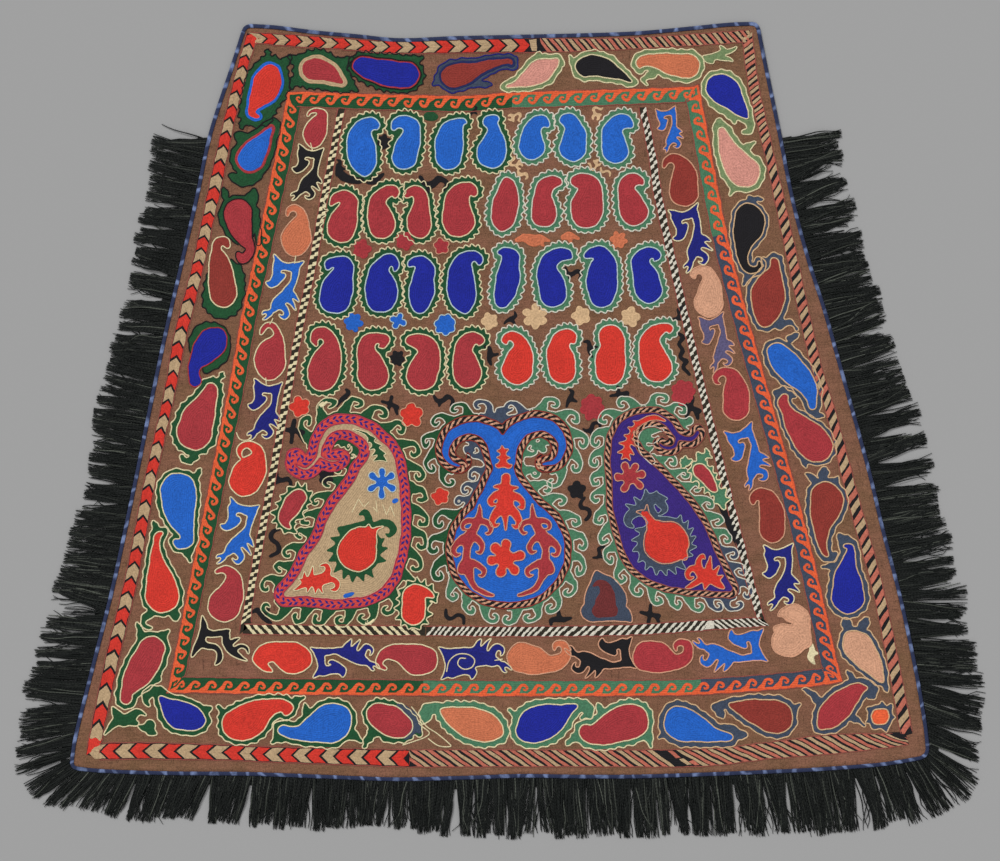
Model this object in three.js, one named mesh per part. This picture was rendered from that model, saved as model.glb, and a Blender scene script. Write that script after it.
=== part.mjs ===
// A saddle cover laid flat: one tapered panel of cloth, a narrow binding folded over its edge,
// and a yarn fringe along both sides and the wide end. Millimetres, +Z up, +Y towards the
// narrow end. The underside of the cloth rests on z = 0.

import * as THREE from 'three';
import { mergeVertices } from 'three/addons/utils/BufferGeometryUtils.js';

// Outline of the finished cover, measured to the outer face of the binding.
const CORNERS = {
  topLeft: { x: -384, y: 563, round: 12 },
  bottomLeft: { x: -647, y: -556, round: 16 },
  bottomRight: { x: 646, y: -539, round: 20 },
  topRight: { x: 388, y: 566, round: 12 },
};

// The places each side runs through between its corners, anticlockwise round the cloth. The
// sides waver a little, as hand-sewn cloth does, and the top sags in to the left of its middle.
const SIDES = [
  {
    name: 'left',
    from: 'topLeft',
    to: 'bottomLeft',
    through: [
      [-404, 500], [-437, 398], [-458, 300], [-481, 200], [-504, 100], [-526, -5],
      [-551, -130], [-583, -280], [-613, -400], [-638, -500],
    ],
  },
  {
    name: 'bottom',
    from: 'bottomLeft',
    to: 'bottomRight',
    through: [
      [-590, -561], [-500, -564], [-380, -565], [-270, -569], [-160, -573], [-60, -571],
      [30, -568], [110, -569], [200, -569], [300, -566], [400, -562], [480, -558], [570, -551],
    ],
  },
  {
    name: 'right',
    from: 'bottomRight',
    to: 'topRight',
    through: [
      [639, -480], [625, -400], [603, -297], [578, -200], [558, -115], [535, -30],
      [510, 60], [489, 135], [465, 210], [442, 297], [422, 398], [403, 490],
    ],
  },
  {
    name: 'top',
    from: 'topRight',
    to: 'topLeft',
    through: [
      [340, 564], [270, 557], [200, 551], [110, 548], [20, 546], [-70, 544],
      [-150, 541], [-215, 547], [-280, 553], [-335, 560],
    ],
  },
];

// Cloth and binding.
const CLOTH_THICK = 1.6;
const FIT_GAP = 0.3;
const BINDING_WIDTH = 6;
const BINDING_WALL = 0.8;
const CLOTH_INSET = BINDING_WALL + FIT_GAP;
const CLOTH_EDGE_LIFT = BINDING_WALL + FIT_GAP;
const BINDING_THICK = 2 * (BINDING_WALL + FIT_GAP) + CLOTH_THICK;
const STEPS_PER_SIDE = 24;
const STEPS_PER_CORNER = 3;

// The cloth lies loose, so it stands a little off the surface in soft low swells.
// Each is an oval with its centre, its two half sizes and its rise.
const SWELLS = [
  { x: -330, y: -440, halfWidth: 190, halfLength: 85, rise: 3.0 },
  { x: 270, y: -430, halfWidth: 200, halfLength: 85, rise: 3.4 },
  { x: -390, y: -80, halfWidth: 85, halfLength: 230, rise: 2.4 },
  { x: 400, y: -20, halfWidth: 90, halfLength: 240, rise: 3.0 },
  { x: -210, y: 330, halfWidth: 130, halfLength: 150, rise: 2.0 },
  { x: 190, y: 390, halfWidth: 140, halfLength: 110, rise: 2.2 },
  { x: 210, y: -190, halfWidth: 140, halfLength: 120, rise: 1.6 },
];

// Rings of the cloth's mesh: distances in from its edge, of which the second lies just past the
// binding, then shares of the way out from the middle.
const EDGE_RINGS = [0, 8, 16, 28];
const INNER_RINGS = [0.92, 0.82, 0.7, 0.57, 0.43, 0.28, 0.13];

// Fringe. Every row is a stretch of yarn along one run: where it starts and ends (share of the
// run), how far its ends reach from the binding, and which way the yarn points at its two ends
// (degrees, 0 = +X, 90 = +Y). The bottom run turns both corners, as its binding does.
const FRINGE_THICK = 3.5;
const HEADING_WIDTH = 16;
const TOOTH_PITCH = 25;
const TOOTH_TIP_SHARE = 0.72;
const NOTCH_DEPTH_SHARE = 0.62;
const FRINGE = {
  left: [
    { from: 0.145, to: 0.19, reach: 84, startAngle: 160, endAngle: 166 },
    { from: 0.19, to: 0.36, reach: 79, startAngle: 168, endAngle: 170 },
    { from: 0.36, to: 0.49, reach: 76, startAngle: 172, endAngle: 170 },
    { from: 0.49, to: 0.61, reach: 82, startAngle: 170, endAngle: 170 },
    { from: 0.61, to: 0.79, reach: 83, startAngle: 172, endAngle: 170 },
    { from: 0.79, to: 0.91, reach: 91, startAngle: 174, endAngle: 184 },
    { from: 0.91, to: 0.998, reach: 88, startAngle: 186, endAngle: 203 },
  ],
  bottom: [
    { from: 0, to: 0.03, reach: 80, startAngle: 207, endAngle: 226 },
    { from: 0.03, to: 0.11, reach: 78, startAngle: 230, endAngle: 248 },
    { from: 0.11, to: 0.3, reach: 79, startAngle: 250, endAngle: 264 },
    { from: 0.3, to: 0.52, reach: 83, startAngle: 264, endAngle: 270 },
    { from: 0.52, to: 0.74, reach: 90, startAngle: 270, endAngle: 276 },
    { from: 0.74, to: 0.92, reach: 94, startAngle: 278, endAngle: 284 },
    { from: 0.92, to: 0.965, reach: 92, startAngle: 292, endAngle: 308 },
    { from: 0.965, to: 1, reach: 86, startAngle: 312, endAngle: 330 },
  ],
  right: [
    { from: 0.002, to: 0.08, reach: 94, startAngle: 336, endAngle: 350 },
    { from: 0.08, to: 0.24, reach: 97, startAngle: 356, endAngle: 366 },
    { from: 0.24, to: 0.4, reach: 95, startAngle: 369, endAngle: 374 },
    { from: 0.4, to: 0.56, reach: 93, startAngle: 372, endAngle: 375 },
    { from: 0.56, to: 0.7, reach: 85, startAngle: 373, endAngle: 375 },
    { from: 0.7, to: 0.85, reach: 87, startAngle: 374, endAngle: 374 },
  ],
};

const CLOTH_COLOUR = 0x76503e;
const BINDING_COLOUR = 0x2b3a78;
const FRINGE_COLOUR = 0x141c19;

function material(colour) {
  return new THREE.MeshStandardMaterial({ color: colour, roughness: 0.9, metalness: 0 });
}

function named(name, geometry, colour) {
  const mesh = new THREE.Mesh(geometry, material(colour));
  mesh.name = name;
  return mesh;
}

const corner = (name) => new THREE.Vector2(CORNERS[name].x, CORNERS[name].y);

// One side between its two rounded corners.
function sideCurve({ from, to, through }) {
  const middle = through.map(([x, y]) => new THREE.Vector2(x, y));
  const leave = (name, towards) => {
    const away = towards.clone().sub(corner(name)).setLength(CORNERS[name].round);
    return corner(name).add(away);
  };
  return new THREE.SplineCurve([leave(from, middle[0]), ...middle, leave(to, middle.at(-1))]);
}

const sideCurves = Object.fromEntries(SIDES.map((side) => [side.name, sideCurve(side)]));

// The rounded corner at the end of one side and the start of the next.
function cornerCurve(index) {
  const side = SIDES[index];
  const next = SIDES[(index + 1) % SIDES.length];
  const start = sideCurves[side.name].getPoint(1);
  const end = sideCurves[next.name].getPoint(0);
  return new THREE.QuadraticBezierCurve(start, corner(side.to), end);
}

// Stations along a curve: a point and the outward direction.
function stations(curve, steps, includeEnd) {
  const list = [];
  const last = includeEnd ? steps : steps - 1;
  for (let i = 0; i <= last; i += 1) {
    const t = i / steps;
    const point = curve.getPointAt(t);
    const tangent = curve.getTangentAt(t);
    list.push({ point, outward: new THREE.Vector2(tangent.y, -tangent.x) });
  }
  return list;
}

function moved(station, outwardBy) {
  return station.point.clone().addScaledVector(station.outward, outwardBy);
}

// The whole outline as one closed loop of stations, anticlockwise from the top left corner.
function outline() {
  return SIDES.flatMap((side, index) => [
    ...stations(sideCurves[side.name], STEPS_PER_SIDE, false),
    ...stations(cornerCurve(index), STEPS_PER_CORNER, false),
  ]);
}

function swellHeight(x, y) {
  return SWELLS.reduce((height, { x: cx, y: cy, halfWidth, halfLength, rise }) => {
    const away = ((x - cx) / halfWidth) ** 2 + ((y - cy) / halfLength) ** 2;
    return away < 1 ? height + rise * (1 - away) ** 2 : height;
  }, 0);
}

// Height that the binding's lower fold gives the cloth's edge, fading out by the last edge ring.
function edgeLift(distance) {
  return CLOTH_EDGE_LIFT * (1 - THREE.MathUtils.smoothstep(distance, EDGE_RINGS[1], EDGE_RINGS.at(-1)));
}

function solid(positions, triangles) {
  const geometry = new THREE.BufferGeometry();
  geometry.setAttribute('position', new THREE.Float32BufferAttribute(positions.flat(), 3));
  geometry.setIndex(triangles.flat());
  const merged = mergeVertices(geometry);
  merged.computeVertexNormals();
  return merged;
}

// The panel: rings of points from its edge to its middle, once for the top face and once for the
// underside, joined round the edge.
function clothGeometry() {
  const loop = outline();
  const count = loop.length;
  const rings = EDGE_RINGS.map((distance) =>
    loop.map((station) => {
      const p = moved(station, -CLOTH_INSET - distance);
      return [p.x, p.y, swellHeight(p.x, p.y) + edgeLift(distance)];
    }),
  );
  const edgeMost = rings.at(-1);
  for (const share of INNER_RINGS) {
    rings.push(edgeMost.map(([x, y]) => [x * share, y * share, swellHeight(x * share, y * share)]));
  }
  const under = [...rings.flat(), [0, 0, swellHeight(0, 0)]];
  const over = under.map(([x, y, z]) => [x, y, z + CLOTH_THICK]);
  const overStart = under.length;
  const middle = under.length - 1;
  const triangles = [];
  const face = (a, b, c) => {
    triangles.push([overStart + a, overStart + b, overStart + c], [a, c, b]);
  };
  for (let ring = 0; ring < rings.length - 1; ring += 1) {
    for (let i = 0; i < count; i += 1) {
      const next = (i + 1) % count;
      const [a, b] = [ring * count + i, ring * count + next];
      face(a, b, b + count);
      face(a, b + count, a + count);
    }
  }
  const innermost = (rings.length - 1) * count;
  for (let i = 0; i < count; i += 1) {
    const next = (i + 1) % count;
    face(innermost + i, innermost + next, middle);
    triangles.push([i, next, overStart + next], [i, overStart + next, overStart + i]);
  }
  return solid([...under, ...over], triangles);
}

// The binding's section: a narrow U lying on its side, open towards the cloth. Each row is how far
// in from the outer face, and the height.
function bindingSection() {
  const top = BINDING_THICK;
  const slotLow = BINDING_WALL;
  const slotHigh = BINDING_THICK - BINDING_WALL;
  return [
    [0, 0],
    [BINDING_WIDTH, 0],
    [BINDING_WIDTH, slotLow],
    [BINDING_WALL, slotLow],
    [BINDING_WALL, slotHigh],
    [BINDING_WIDTH, slotHigh],
    [BINDING_WIDTH, top],
    [0, top],
  ];
}

// A section carried along a run of stations and closed at both ends.
function bindingGeometry(run) {
  const section = bindingSection();
  const size = section.length;
  const positions = run.flatMap((station) =>
    section.map(([inward, z]) => {
      const p = moved(station, -inward);
      return [p.x, p.y, z];
    }),
  );
  const triangles = [];
  for (let i = 0; i < run.length - 1; i += 1) {
    for (let k = 0; k < size; k += 1) {
      const a = i * size + k;
      const b = i * size + ((k + 1) % size);
      triangles.push([a, b, b + size], [a, b + size, a + size]);
    }
  }
  const endFaces = THREE.ShapeUtils.triangulateShape(section.map((p) => new THREE.Vector2(...p)), []);
  const lastStart = (run.length - 1) * size;
  for (const [a, b, c] of endFaces) {
    triangles.push([a, c, b], [lastStart + a, lastStart + b, lastStart + c]);
  }
  return solid(positions, triangles);
}

const turnsCorners = (name) => name === 'bottom' || name === 'top';

function cornersOf(name) {
  const index = SIDES.findIndex((side) => side.name === name);
  return [cornerCurve((index + SIDES.length - 1) % SIDES.length), cornerCurve(index)];
}

// The stations of one side, with its two corners where its pieces turn them.
function runStations(name) {
  const side = sideCurves[name];
  if (!turnsCorners(name)) {
    return stations(side, STEPS_PER_SIDE, true);
  }
  const [before, after] = cornersOf(name);
  return [
    ...stations(before, STEPS_PER_CORNER, false),
    ...stations(side, STEPS_PER_SIDE, false),
    ...stations(after, STEPS_PER_CORNER, true),
  ];
}

// The bottom and top bands turn the corners and stop a little short of the side bands.
function bindingRun(name) {
  const run = runStations(name);
  if (turnsCorners(name)) {
    const drawBack = ({ point, outward }, distance) => {
      point.addScaledVector(new THREE.Vector2(-outward.y, outward.x), distance);
    };
    drawBack(run[0], FIT_GAP);
    drawBack(run.at(-1), -FIT_GAP);
  }
  return run;
}

// The line that a comb is sewn along.
function combRun(name) {
  if (!turnsCorners(name)) {
    return sideCurves[name];
  }
  const [before, after] = cornersOf(name);
  const run = new THREE.CurvePath();
  run.curves.push(before, sideCurves[name], after);
  return run;
}

// The teeth of one comb: where each is rooted, how wide it is and which way its yarn lies.
function combTeeth(name, curve) {
  const length = curve.getLength();
  const teeth = [];
  for (const { from, to, reach, startAngle, endAngle } of FRINGE[name]) {
    const count = Math.max(1, Math.round(((to - from) * length) / TOOTH_PITCH));
    for (let i = 0; i < count; i += 1) {
      const share = (i + 0.5) / count;
      const angle = THREE.MathUtils.degToRad(THREE.MathUtils.lerp(startAngle, endAngle, share));
      const toothWidth = ((to - from) * length) / count;
      teeth.push({
        root: THREE.MathUtils.lerp(from, to, share),
        halfShare: toothWidth / length / 2,
        halfTip: (toothWidth / 2) * TOOTH_TIP_SHARE,
        yarn: new THREE.Vector2(Math.cos(angle), Math.sin(angle)),
        reach,
      });
    }
  }
  return teeth;
}

function stationAt(curve, share) {
  const at = THREE.MathUtils.clamp(share, 0, 1);
  const tangent = curve.getTangentAt(at);
  return { point: curve.getPointAt(at), outward: new THREE.Vector2(tangent.y, -tangent.x) };
}

// Stations along part of a curve.
function stretch(curve, start, end) {
  const at = (i) => THREE.MathUtils.lerp(start, end, i / STEPS_PER_SIDE);
  return Array.from({ length: STEPS_PER_SIDE + 1 }, (_, i) => stationAt(curve, at(i)));
}

// One comb: a heading along the binding with its teeth lying outwards, cut as a single outline.
function combGeometry(name) {
  const curve = combRun(name);
  const teeth = combTeeth(name, curve);
  const outer = [];
  teeth.forEach((tooth, i) => {
    const root = moved(stationAt(curve, tooth.root), HEADING_WIDTH);
    const tip = root.clone().addScaledVector(tooth.yarn, tooth.reach - HEADING_WIDTH);
    const across = new THREE.Vector2(-tooth.yarn.y, tooth.yarn.x).multiplyScalar(tooth.halfTip);
    outer.push(tip.clone().sub(across), tip.clone().add(across));
    const next = teeth[i + 1];
    if (next) {
      const between = moved(stationAt(curve, tooth.root + tooth.halfShare), HEADING_WIDTH);
      const yarn = tooth.yarn.clone().add(next.yarn).normalize();
      const depth = (1 - NOTCH_DEPTH_SHARE) * Math.min(tooth.reach, next.reach);
      outer.push(between.addScaledVector(yarn, depth - HEADING_WIDTH / 2));
    }
  });
  const start = teeth[0].root - teeth[0].halfShare;
  const end = teeth.at(-1).root + teeth.at(-1).halfShare;
  const innerRun = turnsCorners(name) ? runStations(name) : stretch(curve, start, end);
  const inner = innerRun.map((station) => moved(station, FIT_GAP));
  const headingEnds = [start, end].map((share) => moved(stationAt(curve, share), HEADING_WIDTH));
  const shape = new THREE.Shape([headingEnds[0], ...outer, headingEnds[1], ...inner.reverse()]);
  return new THREE.ExtrudeGeometry(shape, { depth: FRINGE_THICK, bevelEnabled: false, steps: 1 });
}

const cover = new THREE.Group();
cover.add(named('ground_cloth', clothGeometry(), CLOTH_COLOUR));
for (const { name } of SIDES) {
  cover.add(named(`binding_${name}`, bindingGeometry(bindingRun(name)), BINDING_COLOUR));
}
for (const name of Object.keys(FRINGE)) {
  cover.add(named(`fringe_${name}`, combGeometry(name), FRINGE_COLOUR));
}

// The origin is under the middle of the whole cover, fringe and all.
const middle = new THREE.Box3().setFromObject(cover).getCenter(new THREE.Vector3());
cover.position.set(-middle.x, -middle.y, 0);

export default cover;
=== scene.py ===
import bpy
import numpy as np
from mathutils.geometry import delaunay_2d_cdt
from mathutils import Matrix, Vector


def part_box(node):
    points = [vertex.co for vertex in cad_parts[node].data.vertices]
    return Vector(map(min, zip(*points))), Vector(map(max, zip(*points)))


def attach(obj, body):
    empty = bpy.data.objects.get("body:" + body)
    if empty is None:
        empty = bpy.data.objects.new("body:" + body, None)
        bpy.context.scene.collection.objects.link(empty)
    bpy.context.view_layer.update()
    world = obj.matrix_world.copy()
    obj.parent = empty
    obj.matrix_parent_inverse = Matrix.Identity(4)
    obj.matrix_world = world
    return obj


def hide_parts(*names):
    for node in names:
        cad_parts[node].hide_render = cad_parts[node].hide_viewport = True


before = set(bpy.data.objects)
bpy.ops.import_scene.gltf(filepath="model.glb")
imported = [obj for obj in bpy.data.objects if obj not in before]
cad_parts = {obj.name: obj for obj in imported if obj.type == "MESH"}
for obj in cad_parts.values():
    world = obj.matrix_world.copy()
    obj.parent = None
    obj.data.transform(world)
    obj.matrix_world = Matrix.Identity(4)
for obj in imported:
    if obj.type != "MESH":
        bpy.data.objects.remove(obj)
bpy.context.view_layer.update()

# ---- The ground cloth ----
# One panel of thick brown wool in plain weave, cut narrow for the front of the saddle and wide for
# the horse's back. Its raw edge lies inside the binding, and it rests in a few soft swells.

MM = 0.001
CORNERS = {
    "top left": (-384, 563, 12),
    "bottom left": (-647, -556, 16),
    "bottom right": (646, -539, 20),
    "top right": (388, 566, 12),
}
SIDES = {
    "left": ("top left", "bottom left", [
        (-404, 500), (-437, 398), (-458, 300), (-481, 200), (-504, 100), (-526, -5),
        (-551, -130), (-583, -280), (-613, -400), (-638, -500)]),
    "bottom": ("bottom left", "bottom right", [
        (-590, -561), (-500, -564), (-380, -565), (-270, -569), (-160, -573), (-60, -571),
        (30, -568), (110, -569), (200, -569), (300, -566), (400, -562), (480, -558), (570, -551)]),
    "right": ("bottom right", "top right", [
        (639, -480), (625, -400), (603, -297), (578, -200), (558, -115), (535, -30),
        (510, 60), (489, 135), (465, 210), (442, 297), (422, 398), (403, 490)]),
    "top": ("top right", "top left", [
        (340, 564), (270, 557), (200, 551), (110, 548), (20, 546), (-70, 544),
        (-150, 541), (-215, 547), (-280, 553), (-335, 560)]),
}
CLOTH_THICK = 1.6
BINDING_WALL = 0.8
FIT_GAP = 0.3
CLOTH_INSET = BINDING_WALL + FIT_GAP
EDGE_LIFT = BINDING_WALL + FIT_GAP
LIFT_FULL_TO = 8
LIFT_GONE_AT = 28
SPAN_STEPS = 8
# Each swell is an oval: its centre, its half width, its half length and its rise.
SWELLS = [
    (-330, -440, 190, 85, 3.0),
    (270, -430, 200, 85, 3.4),
    (-390, -80, 85, 230, 2.4),
    (400, -20, 90, 240, 3.0),
    (-210, 330, 130, 150, 2.0),
    (190, 390, 140, 110, 2.2),
    (210, -190, 140, 120, 1.6),
]


def spline(points):
    """A smooth line through the points. A point is x, y and whatever else it carries."""
    rows = np.array(points, float)
    if len(rows) == 1:
        return rows
    padded = np.vstack([rows[:1], rows, rows[-1:]])
    spans = len(rows) - 1
    at = np.linspace(0, spans, SPAN_STEPS * spans + 1)
    k = np.minimum(at.astype(int), spans - 1)
    t = (at - k)[:, None]
    a, b, c, d = (padded[k + i] for i in range(4))
    return b + 0.5 * t * (c - a + t * (2 * a - 5 * b + 4 * c - d + t * (3 * b - a - 3 * c + d)))


def run_of(line):
    """How far along a line each of its points lies."""
    return np.concatenate([[0], np.cumsum(np.hypot(*np.diff(line[:, :2], axis=0).T))])


def read_at(places, at, table):
    """What the rows of a table say between the places that they stand at."""
    return np.stack([np.interp(places, at, column) for column in table.T], axis=1)


def evenly(line, step, closed=False):
    """The same line with its points about a step apart."""
    if closed:
        line = np.vstack([line, line[:1]])
    at = run_of(line)
    count = max(int(round(at[-1] / step)), 4 if closed else 1)
    places = np.linspace(0, at[-1], count + 1)
    if closed:
        places = places[:-1]
    return read_at(places, at, line)


def right_of(line, closed=False):
    """Unit steps to the right of the way the line runs."""
    if closed:
        run = np.roll(line, -1, axis=0) - np.roll(line, 1, axis=0)
    else:
        run = np.gradient(line, axis=0)
    run = run / np.maximum(np.hypot(run[:, 0], run[:, 1]), 1e-9)[:, None]
    return np.stack([run[:, 1], -run[:, 0]], axis=1)


def side_line(name):
    """One side of the finished outline, between its two rounded corners."""
    start, end, through = SIDES[name]

    def leave(corner, towards):
        x, y, rounding = CORNERS[corner]
        away = np.array(towards, float) - (x, y)
        return tuple(np.array((x, y)) + away * rounding / np.hypot(*away))

    return spline([leave(start, through[0]), *through, leave(end, through[-1])])


def corner_line(before, after):
    """The rounded corner from the end of one side to the start of the next."""
    start, end = side_line(before)[-1], side_line(after)[0]
    middle = np.array(CORNERS[SIDES[before][1]][:2], float)
    t = np.linspace(0, 1, 13)[:, None]
    return (1 - t) ** 2 * start + 2 * t * (1 - t) * middle + t**2 * end


ROUND = ["left", "bottom", "right", "top"]
corner_after = {side: corner_line(side, ROUND[(i + 1) % 4]) for i, side in enumerate(ROUND)}
outline = np.vstack([part for side in ROUND for part in (side_line(side)[:-1], corner_after[side][:-1])])
cloth_edge = outline - right_of(outline, closed=True) * CLOTH_INSET

GRID_STEP = 4.0
grid_x = np.arange(-700, 701, GRID_STEP)
grid_y = np.arange(-640, 641, GRID_STEP)


def edge_distance(x, y, line):
    """How far places lie from a closed line."""
    nearest = np.full(x.shape, 1e9)
    for (ax, ay), (bx, by) in zip(line, np.roll(line, -1, axis=0)):
        dx, dy = bx - ax, by - ay
        t = np.clip(((x - ax) * dx + (y - ay) * dy) / (dx * dx + dy * dy + 1e-9), 0, 1)
        nearest = np.minimum(nearest, np.hypot(x - ax - t * dx, y - ay - t * dy))
    return nearest


def resting_height():
    """Height of the cloth's underside over a grid: its swells, and the lift of its edge."""
    x, y = np.meshgrid(grid_x, grid_y)
    height = np.zeros(x.shape)
    for cx, cy, half_width, half_length, rise in SWELLS:
        away = ((x - cx) / half_width) ** 2 + ((y - cy) / half_length) ** 2
        height += np.where(away < 1, rise * (1 - away) ** 2, 0)
    away = edge_distance(x, y, evenly(cloth_edge, 12, True))
    share = np.clip((away - LIFT_FULL_TO) / (LIFT_GONE_AT - LIFT_FULL_TO), 0, 1)
    return height + EDGE_LIFT * (1 - share * share * (3 - 2 * share))


def on_grid(grid, low, step, points):
    """A grid's value at each point, blended between its four neighbours."""
    at = np.clip((points[:, :2] - low) / step, 0, np.array(grid.shape[::-1]) - 1.001)
    cell = at.astype(int)
    i, j = cell.T
    u, v = (at - cell).T
    lower = grid[j, i] * (1 - u) + grid[j, i + 1] * u
    upper = grid[j + 1, i] * (1 - u) + grid[j + 1, i + 1] * u
    return lower * (1 - v) + upper * v


rest_grid = resting_height()
low_corner, high_corner = (np.array(corner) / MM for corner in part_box("ground_cloth"))
own_middle = (cloth_edge.min(axis=0) + cloth_edge.max(axis=0)) / 2
to_frame = (low_corner + high_corner)[:2] / 2 - own_middle


def lay(points, lift):
    """Places on the cloth, in its own millimetres, as metres in the frame, raised by the lift."""
    points = np.asarray(points, float)
    height = on_grid(rest_grid, (grid_x[0], grid_y[0]), GRID_STEP, points) + CLOTH_THICK + lift
    return np.column_stack([points[:, :2] + to_frame, height]) * MM


def stand(points, height):
    """The same for places beside the cloth, at their own height above the floor."""
    points = np.asarray(points, float)
    height = np.broadcast_to(height, len(points))
    return np.column_stack([points[:, :2] + to_frame, height]) * MM


def make_mesh(name, points, faces, rows=None, materials=(), material_of=None):
    """One mesh piece that rides on the body. Rows are the points' places along and across a row."""
    mesh = bpy.data.meshes.new(name)
    mesh.vertices.add(len(points))
    mesh.vertices.foreach_set("co", np.asarray(points, np.float32).ravel())
    mesh.loops.add(faces.size)
    mesh.loops.foreach_set("vertex_index", faces.astype(np.int32).ravel())
    mesh.polygons.add(len(faces))
    mesh.polygons.foreach_set("loop_start", np.arange(0, faces.size, faces.shape[1], dtype=np.int32))
    mesh.polygons.foreach_set("use_smooth", np.ones(len(faces), bool))
    if material_of is not None:
        mesh.polygons.foreach_set("material_index", material_of.astype(np.int32))
    if rows is not None:
        layer = mesh.uv_layers.new(name="Rows")
        layer.data.foreach_set("uv", np.asarray(rows, np.float32)[faces.ravel()].ravel())
    for material in materials:
        mesh.materials.append(material)
    mesh.update(calc_edges=True)
    piece = bpy.data.objects.new(name, mesh)
    bpy.context.collection.objects.link(piece)
    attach(piece, "root")
    return piece


def linear(colour):
    """An everyday 0 to 255 colour as the linear colour that a shader takes."""
    shares = [c / 255 for c in colour]
    return (*[c / 12.92 if c <= 0.04045 else ((c + 0.055) / 1.055) ** 2.4 for c in shares], 1.0)


class Finish:
    """A material under way: its nodes, and short ways to add and join them."""

    def __init__(self, name, roughness, specular=0.2, sheen=0.0):
        self.material = bpy.data.materials.new(name)
        self.material.use_nodes = True
        self.nodes = self.material.node_tree.nodes
        self.shader = self.nodes["Principled BSDF"]
        self.shader.inputs["Roughness"].default_value = roughness
        self.shader.inputs["Specular IOR Level"].default_value = specular
        self.shader.inputs["Sheen Weight"].default_value = sheen
        self.place = self.add("ShaderNodeTexCoord").outputs["Object"]

    def add(self, kind, **settings):
        node = self.nodes.new(kind)
        for key, value in settings.items():
            setattr(node, key, value)
        return node

    def feed(self, socket, value):
        if isinstance(value, bpy.types.NodeSocket):
            self.material.node_tree.links.new(value, socket)
        else:
            socket.default_value = value

    def maths(self, operation, a, b=0.0, c=0.0, clamp=False):
        node = self.add("ShaderNodeMath", operation=operation, use_clamp=clamp)
        for socket, value in zip(node.inputs, (a, b, c)):
            self.feed(socket, value)
        return node.outputs[0]

    def scaled(self, value, by, plus, clamp=False):
        return self.maths("MULTIPLY_ADD", value, by, plus, clamp)

    def centred(self, value, by, plus):
        """A value that lies about a half, scaled about that half and added."""
        return self.scaled(self.maths("SUBTRACT", value, 0.5), by, plus)

    def waves(self, value, turns=1):
        return self.maths("SINE", self.maths("MULTIPLY", value, 2 * np.pi * turns))

    def noise(self, scale, detail, stretch=(1, 1, 1)):
        mapping = self.add("ShaderNodeMapping")
        self.feed(mapping.inputs["Vector"], self.place)
        mapping.inputs["Scale"].default_value = stretch
        node = self.add("ShaderNodeTexNoise")
        self.feed(node.inputs["Vector"], mapping.outputs[0])
        node.inputs["Scale"].default_value = scale
        node.inputs["Detail"].default_value = detail
        return node.outputs["Fac"]

    def row_place(self):
        """Places along and across a row, from the piece's own layout."""
        node = self.add("ShaderNodeUVMap", uv_map="Rows")
        split = self.add("ShaderNodeSeparateXYZ")
        self.feed(split.inputs[0], node.outputs[0])
        return split.outputs[0], split.outputs[1]

    def blend(self, share, a, b):
        node = self.add("ShaderNodeMix", data_type="RGBA")
        self.feed(node.inputs["Factor"], share)
        self.feed(node.inputs[6], a)
        self.feed(node.inputs[7], b)
        return node.outputs[2]

    def shade(self, colour, brightness):
        node = self.add("ShaderNodeHueSaturation")
        self.feed(node.inputs["Color"], colour)
        self.feed(node.inputs["Value"], brightness)
        return node.outputs[0]

    def finish(self, colour, height, distance, strength=0.6):
        self.feed(self.shader.inputs["Base Color"], colour)
        bump = self.add("ShaderNodeBump")
        bump.inputs["Strength"].default_value = strength
        bump.inputs["Distance"].default_value = distance
        self.feed(bump.inputs["Height"], height)
        self.feed(self.shader.inputs["Normal"], bump.outputs[0])
        return self.material


OLIVE_BROWN = (118, 87, 62)
PINKISH_BROWN = (130, 88, 71)
PALE_FLECK = (158, 136, 112)
THREADS_A_METRE = 620


def wool_finish():
    """Brown plain-woven wool, mottled between a pinkish and an olive brown, with fine slubs and short
    streaks of painted crease shade.
    """
    finish = Finish("ground wool", roughness=0.92, specular=0.15, sheen=0.08)
    broad = finish.noise(7, 3)
    patchy = finish.noise(30, 3, (1, 1.6, 1))
    slubs = finish.noise(160, 2, (0.35, 2.4, 1))
    grain = finish.noise(520, 2)
    # Short dark streaks stretched along the cloth are painted shade of crease lines.
    crease_shade = finish.noise(95, 3, (2.6, 0.5, 1))
    flecks = finish.noise(330, 1)
    hue = finish.centred(patchy, 0.9, finish.scaled(broad, 1.9, -0.45))
    colour = finish.blend(hue, linear(OLIVE_BROWN), linear(PINKISH_BROWN))
    fleck = finish.maths("MULTIPLY", finish.scaled(flecks, 9.0, -6.4, True), 0.45)
    colour = finish.blend(fleck, colour, linear(PALE_FLECK))
    light = finish.centred(grain, 1.5, finish.scaled(slubs, 0.6, 0.72))
    light = finish.centred(patchy, 0.5, light)
    # The painted crease shade darkens the colour along those streaks.
    light = finish.scaled(finish.scaled(crease_shade, 7.0, -4.3, True), -0.4, light)
    split = finish.add("ShaderNodeSeparateXYZ")
    finish.feed(split.inputs[0], finish.place)
    warp, weft = (finish.waves(split.outputs[k], THREADS_A_METRE) for k in range(2))
    height = finish.scaled(finish.maths("MULTIPLY", warp, weft), 0.3, grain)
    return finish.finish(finish.shade(colour, light), height, 0.0007, 0.7)


ACROSS, UP = 124, 110


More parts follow.
